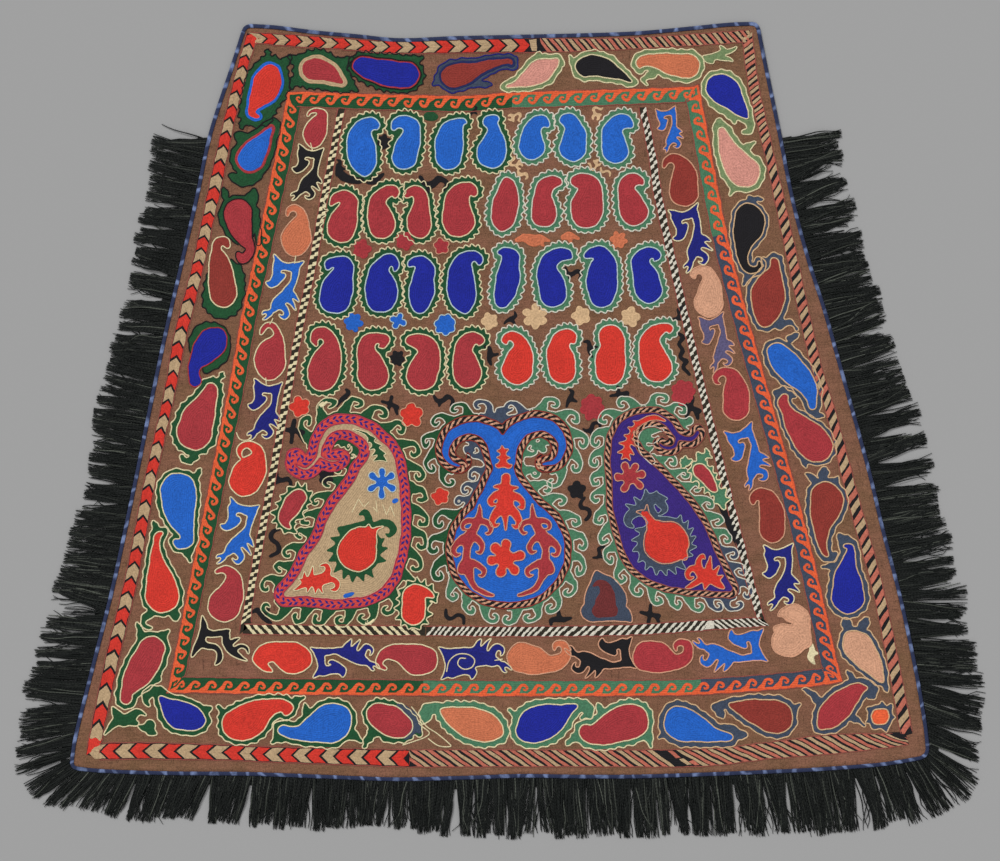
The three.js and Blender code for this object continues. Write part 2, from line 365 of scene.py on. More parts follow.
def make_ground():
    """The panel as a grid drawn between its four edges, with its underside and its cut edge."""
    halves = {side: np.array_split(corner_after[side][:-1], 2) for side in ROUND}

    def edge(side, count):
        before = ROUND[(ROUND.index(side) - 1) % 4]
        line = np.vstack([halves[before][1], side_line(side)[:-1], halves[side][0], halves[side][1][:1]])
        line = line - right_of(line) * CLOTH_INSET
        return evenly(line, run_of(line)[-1] / count)[: count + 1]

    bottom, top = edge("bottom", ACROSS), edge("top", ACROSS)[::-1]
    right, left = edge("right", UP), edge("left", UP)[::-1]
    corners = [(bottom[0] + left[0]) / 2, (bottom[-1] + right[0]) / 2,
               (top[0] + left[-1]) / 2, (top[-1] + right[-1]) / 2]
    bottom[0], left[0], bottom[-1], right[0] = corners[0], corners[0], corners[1], corners[1]
    top[0], left[-1], top[-1], right[-1] = corners[2], corners[2], corners[3], corners[3]
    u = np.linspace(0, 1, ACROSS + 1)[None, :, None]
    v = np.linspace(0, 1, UP + 1)[:, None, None]
    flat = (1 - v) * bottom[None] + v * top[None] + (1 - u) * left[:, None] + u * right[:, None]
    flat = flat - ((1 - u) * (1 - v) * corners[0] + u * (1 - v) * corners[1]
                   + (1 - u) * v * corners[2] + u * v * corners[3])
    flat = flat.reshape(-1, 2)
    points = np.vstack([lay(flat, 0), lay(flat, -CLOTH_THICK)])
    node = np.arange((ACROSS + 1) * (UP + 1)).reshape(UP + 1, ACROSS + 1)
    a, b, c, d = node[:-1, :-1], node[:-1, 1:], node[1:, 1:], node[1:, :-1]
    upper = np.stack([a, b, c, d], axis=-1).reshape(-1, 4)
    lower = upper[:, ::-1] + node.size
    rim = np.concatenate([node[0, :-1], node[:-1, -1], node[-1, :0:-1], node[:0:-1, 0]])
    next_rim = np.roll(rim, -1)
    wall = np.stack([rim, rim + node.size, next_rim + node.size, next_rim], axis=-1)
    return make_mesh("ground_wool", points, np.vstack([upper, lower, wall]), materials=[wool_finish()])


ground = make_ground()
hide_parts("ground_cloth")

# ---- The binding ----
# A narrow navy band with slanting light-blue stripes, folded over the raw edge and sewn through.
# The bottom and top bands turn the corners, and the side bands butt against them.

BINDING_WIDTH = 6.0
STRIPE_SLANT = 0.012
# Across the folded band: how far in from its outer face, and the height.
FOLD = [
    (BINDING_WIDTH, 3.7), (5.0, 3.95), (3.0, 4.0), (1.2, 3.7), (0.3, 2.9), (0.0, 1.9), (0.3, 0.9),
    (1.5, 0.1), (BINDING_WIDTH, 0.0), (BINDING_WIDTH, 0.8), (1.9, 0.9), (1.0, 1.9), (1.9, 2.95),
    (BINDING_WIDTH, 3.05),
]
STRIPE_REPEAT = {"left": 27, "bottom": 25, "right": 28, "top": 31}
BAND_STEP = 6
NAVY_TWILL = (40, 48, 78)
BLUE_BLOCKS = (112, 128, 168)


def binding_run(side):
    """The outer face of one side's band, with both corners where the band turns them."""
    line = side_line(side)
    if side in ("bottom", "top"):
        before = ROUND[(ROUND.index(side) - 1) % 4]
        line = np.vstack([corner_after[before][:-1], line[:-1], corner_after[side]])
    return evenly(line, BAND_STEP)


def binding_finish():
    """Navy twill with slanting light-blue blocks, soft at their edges and a little worn."""
    finish = Finish("binding band", roughness=0.8, sheen=0.05)
    along, across = finish.row_place()
    broad = finish.noise(24, 2)
    worn = finish.noise(90, 3)
    grain = finish.noise(420, 2)
    shifted = finish.scaled(broad, 2.0, finish.maths("ADD", along, across))
    share = finish.scaled(finish.waves(shifted), 1.7, -0.6, True)
    share = finish.maths("MULTIPLY", share, finish.scaled(worn, 2.6, -0.6), clamp=True)
    colour = finish.blend(share, linear(NAVY_TWILL), linear(BLUE_BLOCKS))
    light = finish.scaled(grain, 0.9, 0.55)
    return finish.finish(finish.shade(colour, light), grain, 0.0005)


binding_cloth = binding_finish()


def make_binding(side):
    run = binding_run(side)
    if side in ("bottom", "top"):
        run[0] += (run[1] - run[0]) * FIT_GAP / BAND_STEP
        run[-1] -= (run[-1] - run[-2]) * FIT_GAP / BAND_STEP
    out = right_of(run)
    length = run_of(run) / STRIPE_REPEAT[side]
    points = np.concatenate([stand(run - out * inward, height) for inward, height in FOLD])
    slanted = np.repeat([STRIPE_SLANT * inward for inward, _ in FOLD], len(run))
    rows = np.column_stack([np.tile(length, len(FOLD)), slanted])
    count = len(run)
    base = np.arange(count - 1)
    faces = []
    for k in range(len(FOLD)):
        a, b = k * count, (k + 1) % len(FOLD) * count
        faces.append(np.stack([a + base, b + base, b + base + 1, a + base + 1], axis=-1))
    piece = make_mesh(f"binding_band_{side}", points, np.vstack(faces), rows, [binding_cloth])
    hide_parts(f"binding_{side}")
    return piece


bindings = [make_binding(side) for side in ROUND]

# ---- The fringe ----
# Twisted green-black yarn, sewn under the binding along both sides and round the wide end. It is
# thick at the root, parts into bunches on its way out, and its cut ends lie unevenly.

YARN_SPACING = 2.0
YARN_LAYERS = 4
YARN_RADIUS = 0.95
YARN_STATIONS = 8
YARN_TAPER = 0.55
YARN_LEAN = 2.6
YARN_SHORTER = 0.20
STRAY_SHARE = 0.12
STRAYING = 3.2
BUNCH_WIDTHS = (8, 22)
BUNCH_LEAN = 4.2
BUNCH_PULL = (0.25, 0.95)
BUNCH_REACH = (0.92, 1.03)
PARTING_FADE = 22
ROOT_OUT = 0.4
HEADING_REACH = 14
TAPE_HEIGHT = 0.6
GREEN_BLACK = (7, 12, 10)
# The light grey-green of painted highlights on a few strands.
GLINT_GREY = (78, 82, 74)
# Along each side's run: share of its length, how far the yarn reaches, and where it points in
# degrees, 0 towards +X and 90 towards +Y.
FRINGE = {
    "left": [
        (0.150, 70, 172), (0.162, 80, 168), (0.180, 82, 168), (0.192, 77, 169), (0.250, 76, 170),
        (0.360, 71, 171), (0.372, 60, 171), (0.385, 74, 171), (0.490, 74, 171), (0.503, 66, 171),
        (0.510, 82, 171), (0.610, 71, 172), (0.625, 60, 172), (0.638, 70, 172), (0.720, 82, 172),
        (0.788, 83, 173), (0.798, 56, 174), (0.812, 85, 175), (0.920, 92, 180), (0.926, 76, 181),
        (0.940, 90, 182), (0.998, 84, 196)],
    "bottom": [
        (0.0, 80, 205), (0.02, 72, 222), (0.05, 68, 236), (0.1, 72, 246), (0.2, 76, 257),
        (0.3, 78, 263), (0.37, 72, 266), (0.45, 84, 269), (0.5, 90, 270), (0.6, 88, 272),
        (0.7, 88, 275), (0.8, 94, 278), (0.85, 96, 280), (0.92, 92, 286), (0.96, 93, 300),
        (0.985, 90, 312), (1.0, 84, 325)],
    "right": [
        (0.003, 86, 336), (0.06, 90, 346), (0.088, 98, 352), (0.13, 94, 358), (0.18, 86, 361),
        (0.203, 103, 363), (0.213, 78, 364), (0.232, 92, 366), (0.345, 93, 371), (0.357, 78, 372),
        (0.37, 95, 372), (0.412, 98, 373), (0.424, 62, 373), (0.438, 95, 373), (0.55, 86, 374),
        (0.562, 70, 374), (0.575, 82, 374), (0.7, 88, 374), (0.712, 66, 374), (0.725, 86, 374),
        (0.775, 84, 374), (0.787, 64, 374), (0.8, 83, 374), (0.85, 90, 374)],
}
# Places where the bunches stand apart: share of the run, and how wide the gap is at the tips.
PARTINGS = {
    "left": [(0.372, 14), (0.503, 8), (0.625, 16), (0.798, 26), (0.926, 16)],
    "bottom": [(0.373, 12), (0.54, 34), (0.62, 8), (0.9, 30)],
    "right": [(0.213, 22), (0.357, 16), (0.424, 26), (0.562, 16), (0.64, 9), (0.712, 18), (0.787, 14)],
}


def fringe_finish():
    """Green-black yarn with a faint shine, a few strands painted grey-green as highlights, twisted along its
    length.
    """
    finish = Finish("fringe yarn", roughness=0.6, specular=0.25)
    strand, along = finish.row_place()
    grain = finish.noise(300, 2)
    # A few strands take a painted highlight: their colour is blended towards the light grey-green.
    grey = finish.maths("POWER", strand, 16.0)
    colour = finish.blend(grey, linear(GREEN_BLACK), linear(GLINT_GREY))
    light = finish.scaled(strand, 0.25, finish.scaled(grain, 0.9, 0.55))
    twist = finish.waves(finish.scaled(strand, 9.0, along))
    return finish.finish(finish.shade(colour, light), twist, 0.0005)


yarn = fringe_finish()


def make_fringe(side, seed):
    """One side's fringe: a heading tape and its layers of strands."""
    rng = np.random.default_rng(seed)
    run = side_line(side)
    if side == "bottom":
        run = np.vstack([corner_after["left"][:-1], run[:-1], corner_after["bottom"]])
    run = evenly(run, 2.0)
    out = right_of(run)
    place = run_of(run)
    total = place[-1]
    table = np.array(FRINGE[side])
    first, last = table[0, 0] * total, table[-1, 0] * total
    bunch_at = first + np.cumsum(rng.uniform(*BUNCH_WIDTHS, int((last - first) / BUNCH_WIDTHS[0])))
    bunch_lean = np.radians(rng.normal(0, BUNCH_LEAN, len(bunch_at)))
    bunch_pull = rng.uniform(*BUNCH_PULL, len(bunch_at))
    bunch_reach = rng.uniform(*BUNCH_REACH, len(bunch_at))
    count = int((last - first) / YARN_SPACING) * YARN_LAYERS
    at = first + (np.arange(count) // YARN_LAYERS + rng.random(count)) * YARN_SPACING
    at = np.minimum(at, last)
    bunch = np.abs(at[:, None] - bunch_at[None]).argmin(axis=1)
    straying = np.where(rng.random(count) < STRAY_SHARE, STRAYING, 1.0)
    angle = np.radians(np.interp(at / total, table[:, 0], table[:, 2]))
    angle += bunch_lean[bunch] + np.radians(rng.normal(0, YARN_LEAN, count)) * straying
    reach = np.interp(at / total, table[:, 0], table[:, 1]) * bunch_reach[bunch]
    reach *= 1 - YARN_SHORTER * rng.random(count) ** 3
    aside = (bunch_at[bunch] - at) * bunch_pull[bunch]
    for share, width in PARTINGS[side]:
        away = at - share * total
        aside += np.sign(away) * width / 2 * np.exp(-np.abs(away) / PARTING_FADE)
    root = read_at(at, place, run) + read_at(at, place, out) * ROOT_OUT
    forward = np.stack([np.cos(angle), np.sin(angle)], axis=1)
    sideways = np.stack([-forward[:, 1], forward[:, 0]], axis=1)
    if side == "bottom":
        aside = aside * np.where(forward[:, 1] < 0, 1, -1)
    t = np.linspace(0, 1, YARN_STATIONS)[None, :, None]
    waver = rng.uniform(0.4, 3.0, (count, 1, 1)) * straying[:, None, None]
    turn = rng.uniform(0, 2 * np.pi, (count, 1, 1))
    sway = waver * t * np.sin(2 * np.pi * t * rng.uniform(0.5, 1.5, (count, 1, 1)) + turn)
    line = (root[:, None] + forward[:, None] * reach[:, None, None] * t
            + sideways[:, None] * (aside[:, None, None] * t**1.3 + sway))
    start_height = rng.uniform(1.0, 3.2, (count, 1, 1))
    hump = rng.uniform(0, 2.2, (count, 1, 1)) * np.sin(np.pi * t) ** 2
    height = start_height * (1 - t) + 1.1 * t + hump
    radius = YARN_RADIUS * (1 - YARN_TAPER * t**3)
    corners = []
    for across, up in ((1, 0), (0, 1), (-1, 0), (0, -1)):
        flat = line + sideways[:, None] * radius * across
        corners.append(np.concatenate([flat, height + radius * up * 0.9], axis=2))
    tubes = np.stack(corners, axis=2).reshape(-1, 3)
    strand = np.arange(count)[:, None, None] * (YARN_STATIONS * 4)
    station = np.arange(YARN_STATIONS - 1)[None, :, None] * 4
    k = np.arange(4)[None, None, :]
    a = strand + station + k
    b = strand + station + (k + 1) % 4
    faces = np.stack([a, b, b + 4, a + 4], axis=-1).reshape(-1, 4)
    ends = np.arange(count)[:, None] * (YARN_STATIONS * 4) + (YARN_STATIONS - 1) * 4 + np.arange(4)
    shade = np.repeat(rng.random(count), YARN_STATIONS * 4)
    along = (reach[:, None, None] / 5 * t).repeat(4, axis=2).reshape(-1)
    rows = np.column_stack([shade, along])
    points = stand(tubes[:, :2], tubes[:, 2])
    taped = (place >= first) & (place <= last)
    reaches = (ROOT_OUT, HEADING_REACH)
    tape = np.vstack([stand(run[taped] + out[taped] * reach, TAPE_HEIGHT) for reach in reaches])
    size = taped.sum()
    step = np.arange(size - 1)
    tape_faces = len(points) + np.stack([step, step + size, step + size + 1, step + 1], axis=-1)
    points = np.vstack([points, tape])
    rows = np.vstack([rows, np.zeros((len(tape), 2))])
    piece = make_mesh(f"fringe_yarn_{side}", points, np.vstack([faces, ends, tape_faces]), rows, [yarn])
    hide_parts(f"fringe_{side}")
    return piece


fringes = [make_fringe(side, seed) for seed, side in enumerate(FRINGE, 11)]

# ---- The edge bands ----
# Inside a plain strip of the ground runs a black band with a rose-brown row along each edge. Red and
# tan arrowheads fill it down the left and along half the top and half the bottom, and slanting
# stripes of tan and dusty rose fill the rest.

THREADS = {
    "red": (204, 52, 40),
    "tan": (180, 153, 118),
    "orange": (222, 92, 52),
    "rust": (200, 68, 62),
    "dark green": (26, 74, 42),
    "light green": (70, 118, 88),
    "sage": (112, 132, 90),
    "slate": (60, 70, 88),
    "royal": (24, 34, 142),
    "navy": (28, 38, 84),
    "navy blue": (26, 30, 114),
    "bright blue": (30, 94, 188),
    "pale blue": (184, 202, 200),
    "grey blue": (142, 158, 166),
    "crimson": (160, 50, 56),
    "red brown": (136, 50, 42),
    "dark red": (104, 42, 42),
    "brown black": (44, 38, 28),
    "salmon": (196, 110, 76),
    "dusty rose": (184, 102, 84),
    "pink": (204, 140, 126),
    "peach": (204, 152, 122),
    "beige": (204, 170, 130),
    "cream": (220, 207, 166),
    "white": (212, 206, 190),
    "purple": (54, 34, 116),
    "magenta": (170, 48, 78),
    "black": (22, 20, 24),
    "violet grey": (88, 82, 116),
    "rose brown": (140, 76, 66),
}
ROW_WIDTH = 3.0
CORD_TWIST = 2.8
ARROW_THICK = 0.4


def thread(name):
    """Chain stitch in one colour of silk: rows of small links, patchily lighter and darker, with painted
    shade in the valleys between the rows.
    """
    if name in bpy.data.materials:
        return bpy.data.materials[name]
    finish = Finish(name, roughness=0.82, specular=0.22, sheen=0.05)
    along, across = finish.row_place()
    broad = finish.noise(34, 2)
    grain = finish.noise(360, 2)
    row = finish.waves(finish.scaled(broad, 1.6, finish.maths("ADD", along, across)))
    light = finish.scaled(broad, 0.3, finish.scaled(grain, 1.05, 0.35))
    # The row ridges also lighten the colour, and their valleys darken it: painted shade between the rows.
    light = finish.scaled(row, 0.07, light)
    colour = finish.shade(linear(THREADS[name]), light)
    return finish.finish(colour, finish.scaled(row, 0.5, grain), 0.0006)


class Stitching:
    """Stitching that becomes one joined piece: its points, faces, rows and threads."""

    def __init__(self, name):
        self.name = name
        self.points, self.faces, self.rows, self.thread_of = [], [], [], []
        self.threads = []
        self.count = 0
        self.layers = 0

    def add(self, colour, points, faces, rows):
        if colour not in self.threads:
            self.threads.append(colour)
        self.points.append(points)
        self.rows.append(rows)
        self.faces.append(faces + self.count)
        self.thread_of.append(np.full(len(faces), self.threads.index(colour)))
        self.count += len(points)

    def sew(self):
        piece = make_mesh(
            self.name, np.vstack(self.points), np.vstack(self.faces), np.vstack(self.rows),
            [thread(colour) for colour in self.threads], np.concatenate(self.thread_of))


def grid_faces(across, along):
    """Triangles of a grid of points, rows one after the other."""
    node = np.arange((across + 1) * (along + 1)).reshape(along + 1, across + 1)
    a, b, c, d = node[:-1, :-1], node[:-1, 1:], node[1:, 1:], node[1:, :-1]
    halves = [np.stack([a, b, c], -1), np.stack([a, c, d], -1)]
    return np.concatenate([half.reshape(-1, 3) for half in halves])


def facing_up(points, faces):
    """The faces, each turned so that it faces up."""
    a, b, c = (points[faces[:, k], :2] for k in range(3))
    ab, ac = b - a, c - a
    under = ab[:, 0] * ac[:, 1] - ab[:, 1] * ac[:, 0] < 0
    return np.where(under[:, None], faces[:, ::-1], faces)


def wander(points, size):
    """Small uneven shifts, as a hand leaves them."""
    x, y = points[..., 0], points[..., 1]
    aside = np.sin(y / 5.6 + x / 9.1) + 0.5 * np.sin(y / 2.1 - x / 3.3) + 0.4 * np.sin(x / 0.9 + y / 1.3)
    along = np.sin(x / 5.9 - y / 8.3) + 0.5 * np.sin(x / 2.3 + y / 2.9) + 0.4 * np.sin(y / 0.8 - x / 1.7)
    return np.stack([aside, along], axis=-1) * size


def band(stations):
    """Ground for a band that repeats. A station is a count of repeats, a place on its outer line and
    the place opposite on its inner line. A place in the band is a count and a share of the way across."""
    table = spline(stations)

    def place(points):
        points = np.asarray(points, float)
        got = read_at(points[:, 0], table[:, 0], table[:, 1:])
        share = points[:, 1:2]
        flat = got[:, :2] * (1 - share) + got[:, 2:] * share
        return flat + wander(flat, 0.4)

    return place


def block(work, colour, place, corners, lift, puff=0.5, grid=(3, 4)):
    """A patch of stitching between four corners in a band, puffed up in its middle."""
    u, v = np.meshgrid(np.linspace(0, 1, grid[0] + 1), np.linspace(0, 1, grid[1] + 1))
    u, v = u.reshape(-1, 1), v.reshape(-1, 1)
    a, b, c, d = (np.array(corner, float) for corner in corners)
    flat = place((a * (1 - u) + b * u) * (1 - v) + (d * (1 - u) + c * u) * v)
    height = lift + puff * (np.sin(np.pi * u) * np.sin(np.pi * v)).ravel() ** 0.5
    span = np.hypot(*(flat[grid[0]] - flat[0]))
    rows = np.column_stack([np.zeros(len(u)), u.ravel() * span / ROW_WIDTH])
    work.add(colour, lay(flat, height), facing_up(flat, grid_faces(*grid)), rows)


def strip(work, colour, place, start, end, near, far, lift, steps, puff=0.0):
    """A run of stitching along a band between two shares of its width."""
    corners = [(start, near), (start, far), (end, far), (end, near)]
    block(work, colour, place, corners, lift, puff, (2, steps))


def cord(work, colour, line, closed=False, width=2.1, height=1.0, lift=0.35):
    """One row of raised chain stitch along a line."""
    side = right_of(line, closed)
    length = run_of(line) / CORD_TWIST
    section = [(-0.5, 0.0), (-0.3, 1.0), (0.3, 1.0), (0.5, 0.0)]
    if closed:
        line, side = np.vstack([line, line[:1]]), np.vstack([side, side[:1]])
        length = np.append(length, length[-1] + 1)
    flat = np.concatenate([line + side * width * across for across, _ in section])
    raised = np.repeat([lift + height * up for _, up in section], len(line))
    own = np.repeat([across * 0.6 for across, _ in section], len(line))
    rows = np.column_stack([np.tile(length, 4), own])
    work.add(colour, lay(flat, raised), facing_up(flat, grid_faces(len(line) - 1, 3)), rows)


def edge_rows(work, place, start, end, step, width=1.7, height=0.6):
    """A thin row of rose brown along both edges of a band."""
    counts = np.arange(start, end, step)
    for share in (0.0, 1.0):
        line = place(np.column_stack([counts, np.full(len(counts), share)]))
        cord(work, "rose brown", line, width=width, height=height, lift=0.15)


def arrowheads(work, place, first, last, point_ahead, colours, depth=0.26):
    """Arrowheads two to a count, in two colours by turns, each in two arms that meet in the middle."""
    for k in range(int(2 * first), int(2 * last) + 1):
        ahead = depth if point_ahead else -depth
        base = (k - ARROW_THICK - ahead) / 2
        tip = base + ahead
        for near, far in ((0.07, 0.5), (0.93, 0.5)):
            corners = [(base, near), (tip, far), (tip + ARROW_THICK, far), (base + ARROW_THICK, near)]
            block(work, colours[k % 2], place, corners, 0.5)


def stripes(work, place, first, last, slant, thick):
    """Slanting stripes two to a count, tan and dusty rose by turns."""
    for k in range(int(2 * first), int(2 * last)):
        start = k / 2 + 0.04 * np.sin(2.3 * k)
        end = start + thick
        corners = [(start, 0.03), (start + slant, 0.97), (end + slant, 0.97), (end, 0.03)]
        block(work, ("tan", "dusty rose")[k % 2], place, corners, 0.5, grid=(5, 2))


edge_work = Stitching("edge_bands")

LEFT_ARROWS = band([(-0.8, -378, 552, -360, 545), (0, -387, 523, -371, 519), (1, -396.5, 489, -380, 485),
    (3, -416, 410, -399.5, 406), (5, -435, 327, -416, 323), (7, -450.5, 252, -433, 248),
    (9, -467, 179, -449, 175), (11, -489, 95, -470, 91), (13, -504, 8, -488, 4),
    (16, -533, -120, -516, -124), (19, -560, -258, -541, -262), (22, -592, -391, -572, -395),
    (24.6, -621, -533, -602, -537)])
TOP_ARROWS = band([(-1, -383, 550, -376, 534), (1, -310, 546, -310, 528), (3, -238, 541, -238, 524),
    (5, -161, 537, -161, 518), (9, -5, 540, -5, 519), (10.3, 44, 541, 44, 519), (11, 66, 541, 66, 520)])
BOTTOM_ARROWS = band([(-0.9, -621, -542, -621, -517), (1, -540, -540, -540, -515),
    (4, -398, -542, -398, -519), (5, -359, -544, -359, -521), (10.3, -136, -552, -136, -526)])
TOP_STRIPES = band([(0.8, 60, 541, 60, 520), (5.4, 143, 540, 143, 522), (11.6, 245, 544, 245, 527),
    (19.4, 374, 553, 374, 535)])
RIGHT_STRIPES = band([(0, 378, 550, 362, 548), (5, 388, 470, 373, 466), (10, 403, 402, 389, 398),
    (12, 414, 352, 401, 348), (16, 439, 243, 424, 239), (23, 479, 62, 464, 58), (26, 503, -18, 489, -22),
    (30, 538, -148, 521, -152), (35, 578, -298, 562, -302), (41.5, 621, -512, 603, -516)])
BOTTOM_STRIPES = band([(0, -136, -552, -136, -526), (9.5, 97, -551, 97, -526), (17.6, 295, -551, 295, -525),
    (21.9, 400, -540, 400, -515), (26, 500, -532, 500, -503), (30.6, 613, -519, 608, -502)])

EDGE_BANDS = [
    (LEFT_ARROWS, -0.7, 24.6), (TOP_ARROWS, -0.8, 11), (BOTTOM_ARROWS, -0.4, 10.3),
    (TOP_STRIPES, 0.8, 19.4), (RIGHT_STRIPES, 0.1, 41.2), (BOTTOM_STRIPES, 0, 30.6)]
for place, start, end in EDGE_BANDS:
    strip(edge_work, "black", place, start, end, 0.02, 0.98, 0.2, 180)
for place, start, end in EDGE_BANDS:
    edge_rows(edge_work, place, start, end, 0.2)
arrowheads(edge_work, LEFT_ARROWS, -0.5, 24, False, ("tan", "red"), depth=0.19)
arrowheads(edge_work, TOP_ARROWS, -0.5, 10, True, ("red", "tan"))
arrowheads(edge_work, BOTTOM_ARROWS, -0.5, 10, False, ("red", "tan"))
for place, start, end, slant, thick in (
        (TOP_STRIPES, 0.6, 19.5, 0.85, 0.31), (RIGHT_STRIPES, 0, 41, 0.46, 0.315),
        (BOTTOM_STRIPES, 0.5, 16.9, -1.4, 0.315), (BOTTOM_STRIPES, 18, 32, -1.7, 0.315)):
    stripes(edge_work, place, start, end, slant, thick)
block(edge_work, "tan", TOP_ARROWS, [(10.28, 0.1), (10.42, 0.9), (10.66, 0.9), (10.6, 0.1)], 0.5)
for colour, corners in (
        ("dusty rose", [(17.5, 0.05), (17.1, 0.3), (17.4, 0.35), (17.8, 0.1)]),
        ("tan", [(17.0, 0.1), (16.5, 0.45), (16.8, 0.5), (17.3, 0.12)]),
        ("dusty rose", [(16.3, 0.5), (15.8, 0.95), (16.1, 0.95), (16.6, 0.55)]),
        ("red", [(-0.35, 0.1), (-0.6, 0.9), (-0.3, 0.9), (-0.1, 0.5)]),
        ("black", [(29.4, 1.05), (30.5, 0.25), (30.6, 0.6), (30.4, 1.2)])):
    block(edge_work, colour, BOTTOM_STRIPES, corners, 0.62)
block(edge_work, "red", LEFT_ARROWS, [(24.15, 0.05), (24.1, 0.95), (24.3, 0.95), (24.6, 0.05)], 0.55)
edge_work.sew()

# ---- The wave border ----
# A band of close chain stitch all the way round: an orange strip whose crests curl over one after
# the other on green or slate silk, with a thin rose-brown row along both edges.

WAVE_PITCH = 22.9
WAVE_DEPTH = 23.5
ORANGE_STRIP = 4.5
CREST = [(2, 3, 3.2), (6.5, 5.5, 3.4), (9.3, 9.5, 2.7), (10.6, 14, 2.3), (14.2, 17.2, 2.1),
    (18.6, 16.3, 1.9), (20.6, 12.4, 1.7), (18.6, 9, 1.4), (15.8, 9.6, 1.1), (15.2, 12.2, 0.8)]


class Chart:
    """A small grid over some strokes that says how far each place lies from their edge, less than
    nothing inside. A stroke is a line of places that each carry a half width."""

    def __init__(self, strokes, cuts=(), cell=1.1, margin=18.0):
        drawn = [evenly(spline(stroke), 1.0) for stroke in strokes]
        discs = np.vstack(drawn)
        discs[:, 2] = np.maximum(discs[:, 2], 0.5)
        self.cell, self.margin = cell, margin
        self.low = (discs[:, :2] - discs[:, 2:]).min(axis=0) - margin
        high = (discs[:, :2] + discs[:, 2:]).max(axis=0) + margin
        across, up = np.ceil((high - self.low) / cell).astype(int) + 1
        self.x = self.low[0] + np.arange(across) * cell
        self.y = self.low[1] + np.arange(up) * cell
        nodes = np.stack(np.meshgrid(self.x, self.y), axis=-1)
        self.nodes = nodes + wander(nodes, 0.55)
        self.field = self.measure(discs)
        if cuts:
            holes = np.vstack([evenly(spline(cut), 1.0) for cut in cuts])
            self.field = np.maximum(self.field, -self.measure(holes))
        soft = self.field
        soft[1:-1] = (soft[:-2] + 2 * soft[1:-1] + soft[2:]) / 4
        soft[:, 1:-1] = (soft[:, :-2] + 2 * soft[:, 1:-1] + soft[:, 2:]) / 4

    def measure(self, discs):
        field = np.full((len(self.y), len(self.x)), float(self.margin))
        for x, y, half in discs:
            i, k = np.searchsorted(self.x, (x - half - self.margin, x + half + self.margin))
            j, m = np.searchsorted(self.y, (y - half - self.margin, y + half + self.margin))
            away = np.hypot(self.nodes[j:m, i:k, 0] - x, self.nodes[j:m, i:k, 1] - y) - half
            np.minimum(field[j:m, i:k], away, out=field[j:m, i:k])
        return field

    def at(self, points):
        return on_grid(self.field, self.low, self.cell, points)

    def outlines(self, level, step=2.0, least=9.0):
        """Closed lines at one distance from the edge, with what is inside on their left."""
        field = self.field - level
        field[field == 0] = 1e-6
        node = np.arange(field.size).reshape(field.shape)
        a, b, c, d = node[:-1, :-1], node[:-1, 1:], node[1:, 1:], node[1:, :-1]
        corners = np.concatenate([np.stack(half, -1).reshape(-1, 3) for half in ((a, b, c), (a, c, d))])
        value = field.ravel()
        inside = value[corners] < 0
        mixed = inside.any(axis=1) & ~inside.all(axis=1)
        corners, inside = corners[mixed], inside[mixed]
        lone_inside = inside.sum(axis=1) == 1
        lone = np.where(lone_inside, inside.argmax(axis=1), inside.argmin(axis=1))
        row = np.arange(len(lone))
        tip = corners[row, lone]
        first, second = corners[row, (lone + 1) % 3], corners[row, (lone + 2) % 3]
        start = np.where(lone_inside, first, second)
        end = np.where(lone_inside, second, first)

        def key(p, q):
            return np.minimum(p, q) * field.size + np.maximum(p, q)

        follow = dict(zip(key(tip, start).tolist(), key(tip, end).tolist()))
        lines = []
        while follow:
            start_key, here = follow.popitem()
            keys = [start_key]
            while here != start_key and here in follow:
                keys.append(here)
                here = follow.pop(here)
            p, q = np.divmod(np.array(keys), field.size)
            share = value[p] / (value[p] - value[q])
            wide = field.shape[1]
            ends = [np.stack([nodes % wide, nodes // wide], axis=1) for nodes in (p, q)]
            line = (ends[0] + share[:, None] * (ends[1] - ends[0])) * self.cell + self.low
            length = np.hypot(*(np.roll(line, -1, axis=0) - line).T).sum()
            if length > least:
                line = evenly(line, step, True)
                lines.append((np.roll(line, 1, axis=0) + 2 * line + np.roll(line, -1, axis=0)) / 4)
        return lines


def within(points, lines):
    """Which points lie inside the closed lines, by the even and odd rule."""
    x, y = points[:, :1], points[:, 1:2]
    odd = np.zeros(len(points), bool)
    for a in lines:
        b = np.roll(a, -1, axis=0)
        rise = np.where(b[:, 1] == a[:, 1], 1, b[:, 1] - a[:, 1])
        meeting = a[:, 0] + (y - a[:, 1]) * (b[:, 0] - a[:, 0]) / rise
        crossing = ((a[:, 1] > y) != (b[:, 1] > y)) & (x < meeting)
        odd ^= crossing.sum(axis=1) % 2 == 1
    return odd


def filled(lines, more=()):
    """Points and faces that fill closed lines, with more lines of points inside them."""
    points, edges = [], []
    for line in lines:
        start = len(points)
        points += line.tolist()
        edges += [(start + k, start + (k + 1) % len(line)) for k in range(len(line))]
    for line in more:
        points += line.tolist()
    corners, _, faces, *_ = delaunay_2d_cdt(points, edges, [], 0, 1e-3)
    corners, faces = np.array([tuple(corner) for corner in corners]), np.array(faces)
    faces = faces[within(corners[faces].mean(axis=1), lines)]
    return corners, facing_up(corners, faces)


